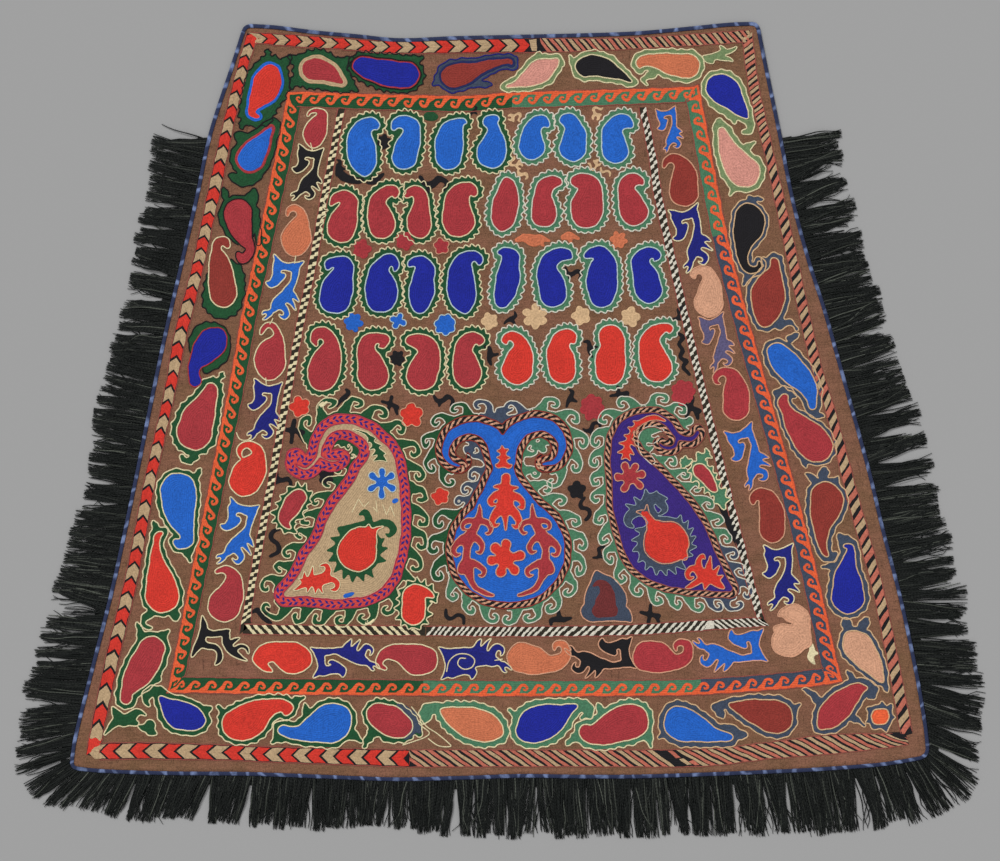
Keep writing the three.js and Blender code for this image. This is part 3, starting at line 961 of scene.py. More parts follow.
WAVE_LEFT = band([(-0.35, -319, 461, -299, 437), (0.4, -322, 443, -300, 434), (2, -328.5, 409, -305, 404),
    (10, -364, 234.5, -341, 230), (15, -388, 126, -365, 121), (20, -407, 17, -384, 12),
    (30, -451, -200.5, -428, -205), (39.2, -490.7, -398.5, -466.8, -390.8), (40.2, -495, -420, -471, -411),
    (41, -500, -441, -474, -418)])
WAVE_BOTTOM = band([(0, -500, -441, -476, -418), (1, -475, -441, -470, -417), (2, -450, -441, -448, -417),
    (10, -252, -444, -252, -420), (20, -7, -446, -7, -422), (30, 240, -445, 240, -421),
    (34.2, 342, -441, 342, -417), (38, 436, -434, 432, -410), (39, 462, -432, 456, -407.5),
    (40, 487, -429, 475, -405), (41, 514, -424, 486, -403)])
WAVE_RIGHT = band([(0, 514, -424, 486, -410), (0.8, 509, -406, 482, -400), (1.8, 503.8, -383.6, 477.2,
    -379.7), (10, 461, -200, 438, -205), (20, 399.5, 24, 376.5, 19), (25.2, 367.5, 140, 345, 135),
    (30, 341, 248, 318, 243), (34.1, 323, 340, 300, 335), (37.5, 309, 416, 286, 411),
    (40, 298, 472, 278, 449)])
WAVE_TOP = band([(0, 298, 472, 278, 449), (1, 275, 468, 275, 445), (6, 158, 464, 158, 440),
    (12, 18, 460, 18, 436), (15, -52, 455, -52, 431), (20, -168, 457, -168, 433),
    (25.4, -294, 461, -294, 438), (26.4, -319, 461, -299, 437)])
WAVES = [
    (WAVE_LEFT, 41, [(-0.35, 41, "dark green")]),
    (WAVE_BOTTOM, 41, [(0, 15.6, "dark green"), (15.6, 32.5, "light green"), (32.5, 41, "slate")]),
    (WAVE_RIGHT, 40, [(0, 30, "slate"), (30, 40, "light green")]),
    (WAVE_TOP, 26, [(0, 12, "light green"), (12, 26.4, "dark green")]),
]
crest_chart = Chart([CREST], cell=0.8, margin=6)
crest_lines = crest_chart.outlines(0, step=1.9)
crest_points, crest_faces = filled(crest_lines)
wave_work = Stitching("wave_border")
for layer, (place, count, grounds) in enumerate(WAVES):
    first = grounds[0][0]
    under = 0.25 + 0.03 * layer
    for start, end, colour in grounds:
        strip(wave_work, colour, place, start, end, 0, 1, under, int((end - start) * 3))
    last = grounds[-1][1]
    strip(wave_work, "orange", place, first, last, 0.04, ORANGE_STRIP / WAVE_DEPTH, under + 0.3,
          int((last - first) * 3), 0.25)
    for k in range(count):
        at = crest_points / (WAVE_PITCH, WAVE_DEPTH) + (k, 0)
        flat = place(at)
        rise = under + 0.33 + 0.3 * np.clip(-crest_chart.at(crest_points) / 2, 0, 1)
        rows = np.column_stack([np.zeros(len(at)), crest_points[:, 1] / ROW_WIDTH])
        wave_work.add("orange", lay(flat, rise), facing_up(flat, crest_faces), rows)
    edge_rows(wave_work, place, first, last + 0.01, 0.25)
wave_work.sew()

# ---- The rope borders of the field ----
# Two strands of slanting dashes on brown-black silk: cream down the left side and along the corner,
# and white under the rest of the field and up the right side.

ROPE_SHARE = 0.45
ROPE_LEFT = band([(0, -243, 436, -232, 434), (2.8, -250, 400, -239, 398), (6.9, -259.5, 350, -248.5, 348),
    (11, -269.5, 300, -258, 298), (19.3, -288, 197.5, -276, 195.5), (27.6, -309, 95, -297, 93),
    (45.5, -350, -130, -338, -132), (59.3, -382, -300, -370, -302), (63.5, -392, -354, -372, -338)])
ROPE_CORNER = band([
    (0, -392, -354, -372, -338), (1, -372, -353, -370, -338), (20, -112, -355, -112, -340.5)])
ROPE_BOTTOM = band([(0, -111, -355, -111, -340.5), (18, 50, -356.5, 50, -341), (30, 200, -354, 200, -338),
    (39, 300, -347.5, 300, -332), (47.5, 380, -342, 380, -328), (50, 404, -341, 392, -329)])
ROPE_RIGHT = band([(0, 219, 438, 208, 436), (3.1, 227, 400, 216, 398), (7.8, 237, 350, 225, 348),
    (12.4, 244.5, 300, 232, 298), (31, 289, 100, 277, 98), (51.2, 340, -112, 328, -114),
    (69.8, 392, -312, 380, -314), (72, 404, -341, 392, -329)])
rope_work = Stitching("rope_borders")


def dashes(work, place, first, last, slant, colour, near, far, offset):
    """Slanting dashes, one to a count, across part of a band."""
    for k in range(first, last):
        start = k + offset + 0.1 * np.sin(1.7 * k)
        end = start + ROPE_SHARE
        corners = [(start, near), (start + slant, far), (end + slant, far), (end, near)]
        block(work, colour, place, corners, 0.55, 0.4, (4, 2))


for place, last in ((ROPE_LEFT, 63.5), (ROPE_CORNER, 20), (ROPE_BOTTOM, 50), (ROPE_RIGHT, 72)):
    strip(rope_work, "brown black", place, 0, last, 0.05, 0.95, 0.25, 180)
    edge_rows(rope_work, place, 0, last, 0.5, width=2.0, height=0.5)
for near, far, offset in ((0.04, 0.5, 0.0), (0.5, 0.96, 0.55)):
    dashes(rope_work, ROPE_LEFT, 1, 63, -0.2, "cream", near, far, -0.85 * offset)
    dashes(rope_work, ROPE_CORNER, 1, 20, -0.45, "cream", near, far, -offset)
    dashes(rope_work, ROPE_BOTTOM, 0, 40, 0.55, "white", near, far, 1.25 * offset)
    dashes(rope_work, ROPE_BOTTOM, 42, 51, -0.9, "white", near, far, -1.8 * offset)
    dashes(rope_work, ROPE_RIGHT, 0, 71, 0.32, "white", near, far, 1.0 * offset)
block(rope_work, "white", ROPE_BOTTOM, [(39.6, 0.1), (40.5, 0.9), (41.0, 0.9), (41.2, 0.1)], 0.6)
rope_work.sew()

# ---- The outer row of buds ----
# Large buds in every colour, each in a green or slate halo with thorns, outlined in a raised row
# of cream, black or dark silk. They fill the border between the edge bands and the waves.

PUFF = 0.55
PUFF_OVER = 2.0
ROWS_IN = (-2.5, -6, -10, -15, -21, -28, -36, -46, -58, -72)
OUTLINE_WIDTH = 2.0


def fill(work, colour, chart, level, lift, puff=PUFF):
    """Close rows of chain stitch that follow the outline inwards."""
    lines = chart.outlines(level)
    if not lines:
        return lines
    inner = [line for depth in ROWS_IN for line in chart.outlines(level + depth, 3.2, 5)]
    points, faces = filled(lines, inner)
    deep = np.maximum(level - chart.at(points), 0)
    rise = lift + puff * (1 - np.exp(-deep / PUFF_OVER))
    rows = np.column_stack([np.zeros(len(points)), deep / ROW_WIDTH])
    work.add(colour, lay(points, rise), faces, rows)
    return lines


def toothed(line, pitch, depth, sharp=1.2, lean=0.5):
    """A closed line pushed out in uneven teeth that lean along it."""
    line = evenly(line, 1.7, True)
    side = right_of(line, True)
    ahead = np.column_stack([-side[:, 1], side[:, 0]])
    turn = np.arange(len(line)) / len(line) * 2 * np.pi
    teeth = max(3, int(round(len(line) * 1.7 / pitch)))
    phase = teeth * turn + 0.9 * np.sin(2 * turn + 1) + 0.7 * np.sin(5 * turn)
    push = (0.5 - 0.5 * np.cos(phase)) ** sharp * (0.8 + 0.25 * np.sin(3 * turn + 2))
    return line + (side + lean * ahead) * (push * depth)[:, None]


def open_runs(line, keep):
    """The runs of a closed line whose points are kept."""
    if keep.all():
        return [np.vstack([line, line[:1]])]
    first = int(np.argmin(keep))
    line, keep = np.roll(line, -first, axis=0), np.roll(keep, -first)
    cuts = np.flatnonzero(np.diff(keep.astype(int))) + 1
    parts = zip(np.split(line, cuts), np.split(keep, cuts))
    return [part for part, kept in parts if kept[0] and len(part) > 3]


def make_halo(work, colour, rim, strokes, teeth, chart, outer, lift, reach):
    """The flat stitching that a motif stands in, and the row that outlines it."""
    halo_chart = Chart(strokes)
    rims = [toothed(line, *teeth) for line in halo_chart.outlines(0)]
    holes = outer if halo_chart.at(np.vstack(outer)).max() < -0.5 else []
    points, faces = filled([*rims, *holes], halo_chart.outlines(-reach / 2, 4.0, 5))
    rows = np.column_stack([np.zeros(len(points)), halo_chart.at(points) / ROW_WIDTH])
    work.add(colour, lay(points, np.full(len(points), lift - 0.12)), faces, rows)
    for line in rims if rim else []:
        for part in open_runs(line, chart.at(line) > 1.2):
            cord(work, rim, part, False, OUTLINE_WIDTH, 0.8, lift - 0.15)


def motif(work, colour, strokes, edge="cream", halo=None, rim="cream", reach=7.0, thorns=(), own_halo=None,
          teeth=(17, 1.8), cuts=(), lift=0.35, edge_width=OUTLINE_WIDTH, ring=None, ring_width=0.0):
    """One embroidered shape: its fill, its outline, and the halo that it stands in."""
    work.layers += 1
    lift += 0.014 * (work.layers % 8)
    chart = Chart(strokes, cuts)
    outer = chart.outlines(ring_width)
    if halo:
        grown = own_halo or [[(x, y, r + reach) for x, y, r in stroke] for stroke in strokes]
        make_halo(work, halo, rim, [*grown, *thorns], teeth, chart, outer, lift, reach)
    if ring:
        fill(work, ring, chart, ring_width, lift, 0.2)
    lines = fill(work, colour, chart, 0, lift + (0.15 if ring else 0))
    if edge:
        for line in outer if ring else lines:
            cord(work, edge, line, True, edge_width, 0.95, lift)


SPIKY = (13, 3.6, 2.0, 0.5)
BARE = {}
GREEN = {"halo": "dark green"}
DARK = {"halo": "dark green", "rim": "black"}
LIGHT = {"halo": "light green"}
SAGE = {"halo": "sage"}
SLATE = {"halo": "slate", "edge": "beige", "rim": "beige"}
# Each bud: its colour, what it stands in, how far that reaches, its strokes, and the thorns.
OUTER_BUDS = [
    # Left side, from the top.
    ("red", dict(DARK, ring="bright blue", ring_width=4, edge=None, teeth=SPIKY), 12,
     [[(-344, 488, 14), (-348, 476, 20), (-352, 465, 20), (-362, 450, 13), (-370, 438, 7), (-373, 429, 5),
       (-366, 424, 3.5), (-362, 424, 2)]],
     [[(-350, 505, 4), (-348, 524, 1.5)], [(-330, 495, 6), (-318, 510, 5)],
      [(-375, 440, 10), (-385, 412, 4), (-392, 407, 1)], [(-345, 440, 12), (-350, 412, 3)],
      [(-330, 470, 8), (-322, 470, 1)]]),
    ("bright blue", dict(DARK, ring="crimson", ring_width=4.0, edge=None), 11,
     [[(-374, 361, 19), (-365, 374, 16), (-355, 388, 9), (-348, 398, 5), (-343, 406, 2)]],
     [[(-405, 335, 3), (-385, 328, 9), (-368, 330, 6), (-360, 333, 3)], [(-343, 405, 9), (-338, 412, 8)],
      [(-385, 390, 10), (-395, 397, 3)]]),
    ("crimson", dict(DARK, edge="black", own_halo=[[(-393, 276, 29), (-390, 258, 23), (-385, 244, 14)]]), 8,
     [[(-393, 278, 22), (-388, 252, 16), (-381, 238, 11), (-374, 228, 7), (-378, 216, 7.5), (-386, 210, 8),
       (-392, 218, 4)]],
     [[(-372, 300, 10), (-368, 312, 4)], [(-412, 305, 5), (-415, 316, 1.5)],
      [(-366, 280, 5), (-363, 250, 4), (-362, 232, 3)]]),
    ("red brown", dict(DARK, teeth=(15, 3.2), own_halo=[[(-416, 150, 29), (-411, 178, 28), (-407, 197, 8)]]),
     8,
     [[(-415, 158, 20.5), (-418, 185, 19), (-421, 205, 14.5), (-425, 222, 8), (-422, 234, 7),
       (-413, 237, 6.5), (-408, 229, 4)]], []),
    ("royal", dict(DARK, edge="crimson", own_halo=[[(-435, 84, 31), (-425, 65, 16), (-440, 45, 6)]]), 8,
     [[(-457, 28, 9.5), (-459, 40, 8.5), (-455, 55, 11), (-442, 72, 19), (-432, 84, 22), (-426, 90, 17)]],
     []),
    ("crimson", dict(GREEN, teeth=(15, 3.0, 1.8, 0.4)), 8,
     [[(-433, 14, 10), (-441, -8, 16), (-452, -28, 24), (-458, -50, 26.5)]],
     [[(-422, 28, 4), (-414, 41, 1)], [(-459, -88, 6), (-470, -93, 4), (-478, -86, 3)]]),
    ("bright blue", GREEN, 6,
     [[(-482, -138, 27), (-481, -160, 25), (-477, -182, 18), (-470, -200, 11.5), (-470, -213, 10),
       (-480, -217, 7.5), (-486, -214, 4)]],
     [[(-458, -118, 6), (-447, -104, 1.2)], [(-469, -224, 9), (-465, -243, 2)],
      [(-508, -140, 6), (-515, -155, 1)]]),
    ("red", GREEN, 6,
     [[(-507, -201, 3), (-513, -206, 5), (-516, -222, 5.5), (-515, -240, 10), (-511, -262, 17),
       (-508, -282, 23), (-506, -295, 25.5)]],
     [[(-516, -195, 5), (-520, -181, 1)],
      [(-525, -322, 6), (-534, -332, 4), (-532, -341, 3), (-521, -343, 2)],
      [(-488, -322, 8), (-484, -330, 3)]]),
    ("crimson", GREEN, 7,
     [[(-522, -376, 20), (-532, -396, 22), (-543, -414, 20), (-554, -430, 13), (-561, -442, 8),
       (-560, -450, 8.5)]],
     [[(-538, -352, 6), (-545, -334, 1)], [(-505, -355, 7), (-498, -348, 3)],
      [(-515, -418, 6), (-507, -422, 1)]]),
    ("dark green", BARE, 0,
     [[(-581, -462, 2), (-575, -472, 6), (-566, -482, 9), (-555, -478, 8), (-545, -470, 6), (-538, -470, 4),
       (-530, -475, 1.5)], [(-570, -480, 8), (-582, -490, 5), (-592, -503, 2)],
      [(-560, -482, 7), (-545, -487, 4)]], []),
    ("dark green", BARE, 0,
     [[(-542, -491, 2), (-532, -493, 6), (-524, -488, 8)], [(-524, -498, 7), (-516, -503, 2)]], []),
    # Bottom, from the left.
    ("royal", GREEN, 7,
     [[(-509, -448, 3), (-499, -458, 10), (-484, -472, 20), (-468, -477, 20.5), (-454, -482, 13)]],
     [[(-505, -440, 6), (-522, -438, 8), (-532, -450, 5), (-526, -460, 2)],
      [(-440, -465, 6), (-432, -462, 1)]]),
    ("red", dict(GREEN, teeth=(15, 2.6)), 6,
     [[(-394, -488, 23), (-380, -484, 27), (-366, -474, 22), (-348, -463, 14), (-330, -459, 9.5),
       (-318, -463, 9), (-321, -470, 5)]],
     [[(-415, -470, 5), (-423, -460, 1)], [(-305, -452, 6), (-292, -446, 1)]]),
    ("bright blue", GREEN, 7,
     [[(-325, -497, 8), (-312, -500, 9), (-295, -500, 13), (-275, -493, 21), (-256, -487, 29),
       (-248, -482, 26)]],
     [[(-290, -470, 6), (-293, -456, 1.5)], [(-222, -503, 8), (-208, -513, 2)],
      [(-330, -507, 8), (-342, -515, 2)]]),
    ("crimson", dict(GREEN, teeth=(14, 2.6), lift=0.5), 6,
     [[(-182, -474, 18), (-165, -482, 23), (-150, -490, 19)]],
     [[(-190, -500, 8), (-205, -521, 2)], [(-172, -505, 8), (-160, -512, 4)],
      [(-145, -474, 12), (-130, -488, 10), (-122, -500, 5)]]),
    ("slate", dict(BARE, edge=None, lift=0.7), 0,
     [[(-153, -459, 2.5), (-141, -465, 5), (-131, -476, 7), (-126, -489, 6.4), (-121, -499, 3)],
      [(-127, -491, 5), (-135, -504, 4), (-144, -509, 2)]], []),
    ("salmon", dict(LIGHT, teeth=(15, 2.6)), 8,
     [[(-86, -468, 4), (-72, -475, 13), (-52, -483, 21), (-32, -489, 24), (-15, -494, 19), (-3, -500, 8)]],
     [[(-90, -462, 7), (-110, -467, 9), (-112, -480, 6)]]),
    ("royal", dict(LIGHT, teeth=(15, 2.2)), 8,
     [[(42, -497, 18), (55, -488, 27), (70, -483, 25), (88, -474, 16), (103, -465, 8), (114, -461, 3)]],
     [[(115, -458, 8), (130, -462, 9), (133, -474, 6), (122, -477, 3)],
      [(28, -475, 6), (20, -472, 4), (14, -466, 2)]]),
    ("crimson", dict(LIGHT, teeth=(15, 2.2)), 7,
     [[(130, -500, 12), (140, -504, 14), (160, -497, 21), (180, -488, 26), (197, -483, 26)]],
     [[(152, -468, 6), (145, -455, 1)], [(222, -505, 7), (227, -522, 1.5)],
      [(112, -508, 6), (98, -520, 1)]]),
    ("bright blue", SLATE, 8,
     [[(268, -480, 20), (272, -487, 25), (290, -493, 21), (312, -501, 13), (332, -506, 8), (343, -507, 6)]],
     [[(350, -500, 10), (368, -505, 4)], [(345, -492, 4), (335, -488, 1.5)],
      [(250, -500, 8), (237, -508, 1)]]),
    ("red brown", SLATE, 7,
     [[(345, -458, 3), (362, -463, 11), (385, -469, 19), (405, -475, 24), (414, -477, 25)]],
     [[(335, -458, 6), (325, -462, 8)], [(330, -470, 6), (335, -478, 2)], [(440, -465, 6), (451, -457, 1)]]),
    ("crimson", SLATE, 7,
     [[(483, -489, 7), (494, -476, 18), (508, -461, 20), (522, -447, 16), (535, -436, 10), (549, -433, 3)]],
     [[(475, -450, 6), (465, -440, 4), (452, -435, 1)], [(528, -418, 5), (520, -407, 1)],
      [(545, -425, 6), (560, -433, 6), (560, -445, 5), (553, -448, 3)], [(528, -478, 5), (548, -490, 1)]]),
    ("orange", dict(SLATE, teeth=(17, 6.5, 1.6, 0.2)), 6,
     [[(563, -469, 4), (577, -469, 4), (577, -483, 4), (563, -483, 4), (563, -469, 4)],
      [(564, -476, 7), (576, -476, 7)]], []),
    # Right side, from the top.
    ("royal", SAGE, 6, [[(328, 467, 20), (337, 462, 22), (350, 448, 16), (362, 432, 9), (371, 421, 2)]],
     [[(318, 442, 4), (345, 425, 5), (352, 415, 3)], [(372, 420, 6), (376, 405, 5), (365, 400, 3)]]),
    ("sage", dict(BARE, edge_width=1.7), 0,
     [[(306, 513, 3), (310, 507, 3), (318, 505, 3)],
      [(312, 512, 4), (325, 514, 5), (335, 522, 4), (330, 528, 2)],
      [(335, 520, 4), (348, 523, 3), (355, 528, 1.5)], [(330, 512, 4), (342, 510, 3), (350, 505, 1)]], []),
    ("pink", SAGE, 7, [[(333, 402, 6), (338, 385, 11), (347, 365, 17), (358, 348, 22), (367, 340, 23)]],
     [[(325, 410, 5), (330, 418, 3)], [(368, 372, 6), (355, 382, 2)], [(372, 378, 5), (383, 385, 1)],
      [(350, 315, 5), (344, 305, 1)]]),
    ("black", SLATE, 5,
     [[(367, 290, 4), (372, 274, 19), (374, 262, 23.5), (368, 244, 18), (364, 228, 11.5), (364, 212, 7.5),
       (369, 198, 6.5), (380, 193, 5.5), (389, 197, 4), (388, 205, 2.5)]],
     [[(375, 300, 5), (395, 299, 1.5)], [(372, 186, 5), (366, 172, 3)]]),
    ("red brown", SLATE, 6.5,
     [[(412, 205, 7), (411, 192, 9), (406, 175, 18), (402, 158, 25.5), (401, 140, 23), (398, 120, 13)]],
     [[(420, 112, 8), (435, 115, 3), (444, 104, 2)], [(397, 205, 5), (393, 210, 2)]]),
    ("bright blue", SLATE, 6.5,
     [[(414, 70, 14), (422, 60, 19), (436, 45, 20), (450, 32, 18), (461, 18, 13.5), (467, 2, 8.5),
       (468, -10, 6.5)]], [[(436, 90, 6), (447, 98, 2)], [(470, -22, 6), (486, -27, 1.5)]]),
    ("crimson", SLATE, 5,
     [[(426, 2, 6), (424, -6, 8), (430, -18, 9), (441, -34, 15), (455, -50, 22), (468, -64, 26),
       (476, -72, 23)]], [[(415, 8, 6), (428, 14, 5), (440, 5, 4)], [(455, -88, 6), (459, -103, 1.5)]]),
    ("red brown", SLATE, 6.5,
     [[(487, -145, 21), (490, -155, 25), (485, -175, 19), (482, -195, 12), (483, -215, 7), (487, -230, 5),
       (490, -235, 3)]],
     [[(470, -120, 6), (456, -111, 1)], [(485, -112, 8), (488, -104, 3)], [(503, -125, 5), (507, -116, 1)],
      [(495, -240, 5), (505, -232, 3)]]),
    ("royal", SLATE, 7,
     [[(517, -220, 3), (525, -222, 5), (524, -240, 9), (520, -262, 17), (521, -280, 22), (522, -297, 25)]],
     [[(510, -208, 6), (528, -212, 4), (533, -214, 1)], [(500, -250, 6), (483, -252, 1.5)]]),
    ("peach", SLATE, 6,
     [[(528, -362, 14), (536, -370, 21), (548, -385, 19), (560, -402, 13), (570, -418, 6), (574, -424, 2)]],
     [[(520, -338, 8), (516, -330, 3)], [(545, -338, 8), (554, -327, 1)], [(575, -425, 6), (581, -441, 1)]]),
    # Top, from the left.
    ("crimson", dict(DARK, ring="tan", ring_width=5.5, edge=None, teeth=SPIKY), 13,
     [[(-282, 494, 15), (-272, 494, 16), (-256, 488, 12), (-244, 480, 6), (-236, 474, 2)]],
     [[(-240, 500, 10), (-222, 512, 2)], [(-300, 480, 10), (-314, 470, 3)],
      [(-300, 505, 10), (-315, 512, 3)], [(-236, 474, 8), (-218, 466, 4)]]),
    ("royal", dict(DARK, ring="crimson", ring_width=3.0, edge="black", teeth=SPIKY), 7.5,
     [[(-208, 500, 12), (-190, 494, 16), (-160, 487, 19), (-140, 486, 18)]],
     [[(-205, 512, 6), (-170, 512, 5), (-125, 510, 4)], [(-128, 500, 5), (-118, 512, 2)]]),
    ("red brown", dict(SLATE, ring="navy", ring_width=3.5, edge=None, rim="navy blue"), 7,
     [[(-71, 484, 17), (-55, 487, 16), (-38, 493, 11), (-20, 500, 7), (0, 505, 4.5), (14, 506, 3.5),
       (17, 502, 2)]], [[(-90, 480, 8), (-100, 472, 2)], [(-38, 474, 6), (-12, 471, 2)]]),
    ("pink", SAGE, 6,
     [[(11, 469, 2.5), (28, 473, 6), (45, 482, 13), (60, 491, 17.5), (74, 499, 11.5), (85, 507, 4)]],
     [[(50, 510, 4), (60, 518, 2)], [(88, 510, 5), (95, 500, 2)]]),
    ("black", SAGE, 6,
     [[(128, 498, 15), (140, 500, 16), (155, 497, 15), (172, 490, 10), (188, 481, 5), (197, 476, 2)]],
     [[(110, 505, 4), (104, 515, 1)], [(190, 478, 6), (205, 475, 2)]]),
    ("salmon", SAGE, 6,
     [[(282, 499, 18), (262, 501, 17), (240, 506, 12), (222, 508, 9), (210, 504, 6.5), (209, 498, 3)]],
     [[(230, 488, 6), (215, 478, 3), (222, 470, 1)]]),
]
outer_work = Stitching("outer_buds")
for colour, setting, reach, strokes, thorns in OUTER_BUDS:
    motif(outer_work, colour, strokes, reach=reach, thorns=thorns, **setting)
outer_work.sew()

# ---- The inner row of buds and beasts ----
# Between the waves and the ropes, buds take turns with a horned beast that looks back over its
# claws. All are outlined in cream or peach silk, with one thorny black sprig in the corner.

BEAST = [[(-14, 49, 0.8), (-10, 42, 3.4), (-5, 34, 6), (5, 29.5, 6.4), (15, 29.5, 6.4), (23, 33, 4),
     (31, 39, 0.8)], [(-9, 33, 7), (-9.5, 24, 6.4), (-10.5, 16, 5.8), (-14, 8, 6), (-18, 4, 5.4),
     (-25, 7, 2)], [(-17, 3, 5), (-10, 6, 4.6), (-3, 12, 4), (1, 16, 3), (-1, 20, 1.8)],
    [(20, 30, 6), (17.5, 18, 5.4), (14, 7, 5.4), (9, -4, 7), (4, -12, 8.5), (-4, -20, 9), (-11, -28, 7.4),
     (-14, -34, 4)], [(10, -9, 6), (17, -15, 4), (24, -23, 0.8)],
    [(5, -18, 5.5), (12, -24, 3.6), (20, -36, 0.8)],
    [(-3, -28, 6), (3, -34, 5), (6, -40, 4.2), (1, -46, 3.2), (-5, -44, 1.8), (-7, -40, 1)],
    [(-13, -33, 4.5), (-21, -37, 3.2), (-29, -38, 2), (-31, -42, 1)],
    [(-19, -40, 3), (-25, -46, 2.2), (-31, -49, 1)]]
BEAST_CURL = [[(-19, -9, 1.6), (-8, -4, 2.7), (1, 2, 3.1), (7, 9, 3.1), (8, 16, 2.9), (4, 22, 2.4),
     (-2, 22.5, 1.8)]]


def moved(strokes, at, size=1.0, turn=0.0, mirror=False):
    """Strokes turned, sized and moved to a new place."""
    cos, sin = np.cos(np.radians(turn)) * size, np.sin(np.radians(turn)) * size
    flip = -1 if mirror else 1

    def put(x, y, r):
        return at[0] + flip * x * cos - y * sin, at[1] + flip * x * sin + y * cos, r * size

    return [[put(*point) for point in stroke] for stroke in strokes]


inner_work = Stitching("inner_buds")
BUDS = [
    ("crimson", "cream", [(-280, 380, 2), (-279, 392, 15), (-276, 404, 16.5), (-269, 417, 11),
     (-266, 427, 6), (-274, 433, 3.6), (-283, 431, 2.6), (-288, 425, 1.8)]),
    ("salmon", "peach", [(-307, 219, 5), (-306, 238, 22), (-301, 256, 16), (-297, 270, 8.5),
     (-301, 283, 5.5), (-310, 287, 4.6), (-317, 282, 3.6), (-318, 275, 2)]),
    ("crimson", "cream", [(-351, 32, 3), (-345, 50, 21), (-344, 65, 22.5), (-337, 81, 13.5), (-333, 95, 6.6),
     (-338, 107, 5), (-347, 111, 4.4), (-355, 106, 4), (-358, 98, 2.6)]),
    ("red", "cream", [(-382, -122, 24), (-375, -110, 24), (-364, -94, 14), (-362, -82, 9), (-367, -73, 7),
     (-377, -68, 5), (-387, -72, 4.4), (-391, -80, 4), (-388, -87, 2)]),
    ("crimson", "cream", [(-413, -309, 25), (-403, -290, 19), (-399, -272, 12), (-404, -260, 8),
     (-414, -256, 5.5), (-424, -259, 3.5)]),
    ("red", "cream", [(-287, -387, 4), (-303, -389, 21), (-315, -387, 23), (-333, -379, 15),
     (-350, -381, 14), (-361, -388, 10), (-357, -397, 7), (-348, -404, 4.6), (-341, -409, 1.6)]),
    ("crimson", "cream", [(-172, -404, 3), (-181, -398, 4.4), (-178, -387, 7), (-165, -380, 10),
     (-145, -382, 15), (-125, -391, 23), (-114, -391, 21)]),
    ("salmon", "peach", [(34, -388, 23), (50, -392, 21), (70, -397, 14), (88, -394, 11), (98, -384, 8),
     (98, -372, 6), (90, -366, 5), (82, -369, 3.6), (81, -376, 2)]),
    ("crimson", "peach", [(222, -386, 23), (235, -387, 23), (255, -394, 14), (272, -392, 10), (282, -382, 8),
     (281, -369, 6), (271, -364, 5), (263, -369, 3.4), (264, -377, 1.8)]),
    ("red brown", "peach", [(276, 310, 21.5), (276, 322, 21), (277, 338, 17), (272, 352, 11), (262, 361, 7),
     (251, 358, 5), (246, 348, 3)]),
    ("peach", "peach", [(313, 144, 21.5), (315, 160, 18), (316, 176, 12), (311, 189, 8.5), (300, 194, 6),
     (290, 189, 4.6), (292, 182, 2.4)]),
    ("crimson", "peach", [(354, -12, 20), (354, 5, 19.5), (353, 20, 16), (349, 33, 11), (340, 41, 7),
     (330, 40, 5.5), (323, 33, 4.6), (325, 25, 3), (330, 23, 1.8)]),
    ("red brown", "peach", [(408, -197, 18.5), (408, -180, 19.5), (406, -163, 17), (400, -148, 12.5),
     (389, -142, 8.5), (380, -148, 6), (380, -156, 3)]),
]
for colour, edge, stroke in BUDS:
    motif(inner_work, colour, [stroke], edge=edge)
motif(inner_work, "peach", [[(427, -365, 20), (435, -362, 24), (445, -360, 18)],
    [(418, -325, 2), (428, -320, 8), (445, -325, 16), (455, -340, 10), (458, -365, 9)],
    [(415, -345, 5), (440, -345, 12)]], edge="peach",
    cuts=[[(402, -336, 4), (425, -335, 2.4), (438, -337, 1.8)]])
motif(inner_work, "cream", [[(466, -368, 3), (468, -378, 4), (466, -388, 5), (473, -398, 1)],
    [(468, -382, 4), (478, -380, 1.5)]], edge=None)
for colour, at, size, turn, edge in (
        ("black", (-288, 341), 0.87, 3, "cream"), ("bright blue", (-325, 168), 1.0, 0, "cream"),
        ("navy blue", (-352, -14), 0.95, 4, "cream"), ("bright blue", (-392, -197), 1.03, -2, "cream"),
        ("navy blue", (-237, -390), 1.02, 108, "cream"), ("navy blue", (-43, -391), 1.08, 108, None),
        ("black", (156, -387), 1.05, -70, "peach"), ("bright blue", (350, -376), 1.1, -70, "peach"),
        ("bright blue", (254, 407), 0.7, 22, "peach"), ("navy blue", (286, 246), 1.0, 26, "cream"),
        ("violet grey", (325, 89), 0.88, 25, "peach"), ("bright blue", (372, -82), 0.98, 32, "peach"),
        ("navy blue", (421, -262), 1.0, 16, "cream")):
    filler = () if edge else [[(-68, -394, 13), (-45, -393, 11), (-20, -391, 8)]]
    motif(inner_work, colour, [*moved(BEAST, at, size, turn), *filler], edge=edge or "cream",
          cuts=moved(BEAST_CURL, at, size, turn) if edge else ())
cord(inner_work, "cream", evenly(spline([(-80, -409), (-76, -393), (-64, -383), (-48, -383), (-38, -391),
    (-42, -402), (-54, -405), (-63, -398), (-60, -389), (-51, -389)]), 2.0), width=1.8, lift=1.0)
for stem in (
        [(-284, 384), (-281, 372)], [(-306, 215), (-308, 203)], [(-351, 32), (-350, 20)],
        [(-395, -50), (-390, -60), (-380, -62), (-372, -58)], [(-8, -392), (4, -390)],
        [(-345, 112), (-340, 121)]):
    cord(inner_work, "cream", evenly(spline(stem), 2.0), width=1.8)
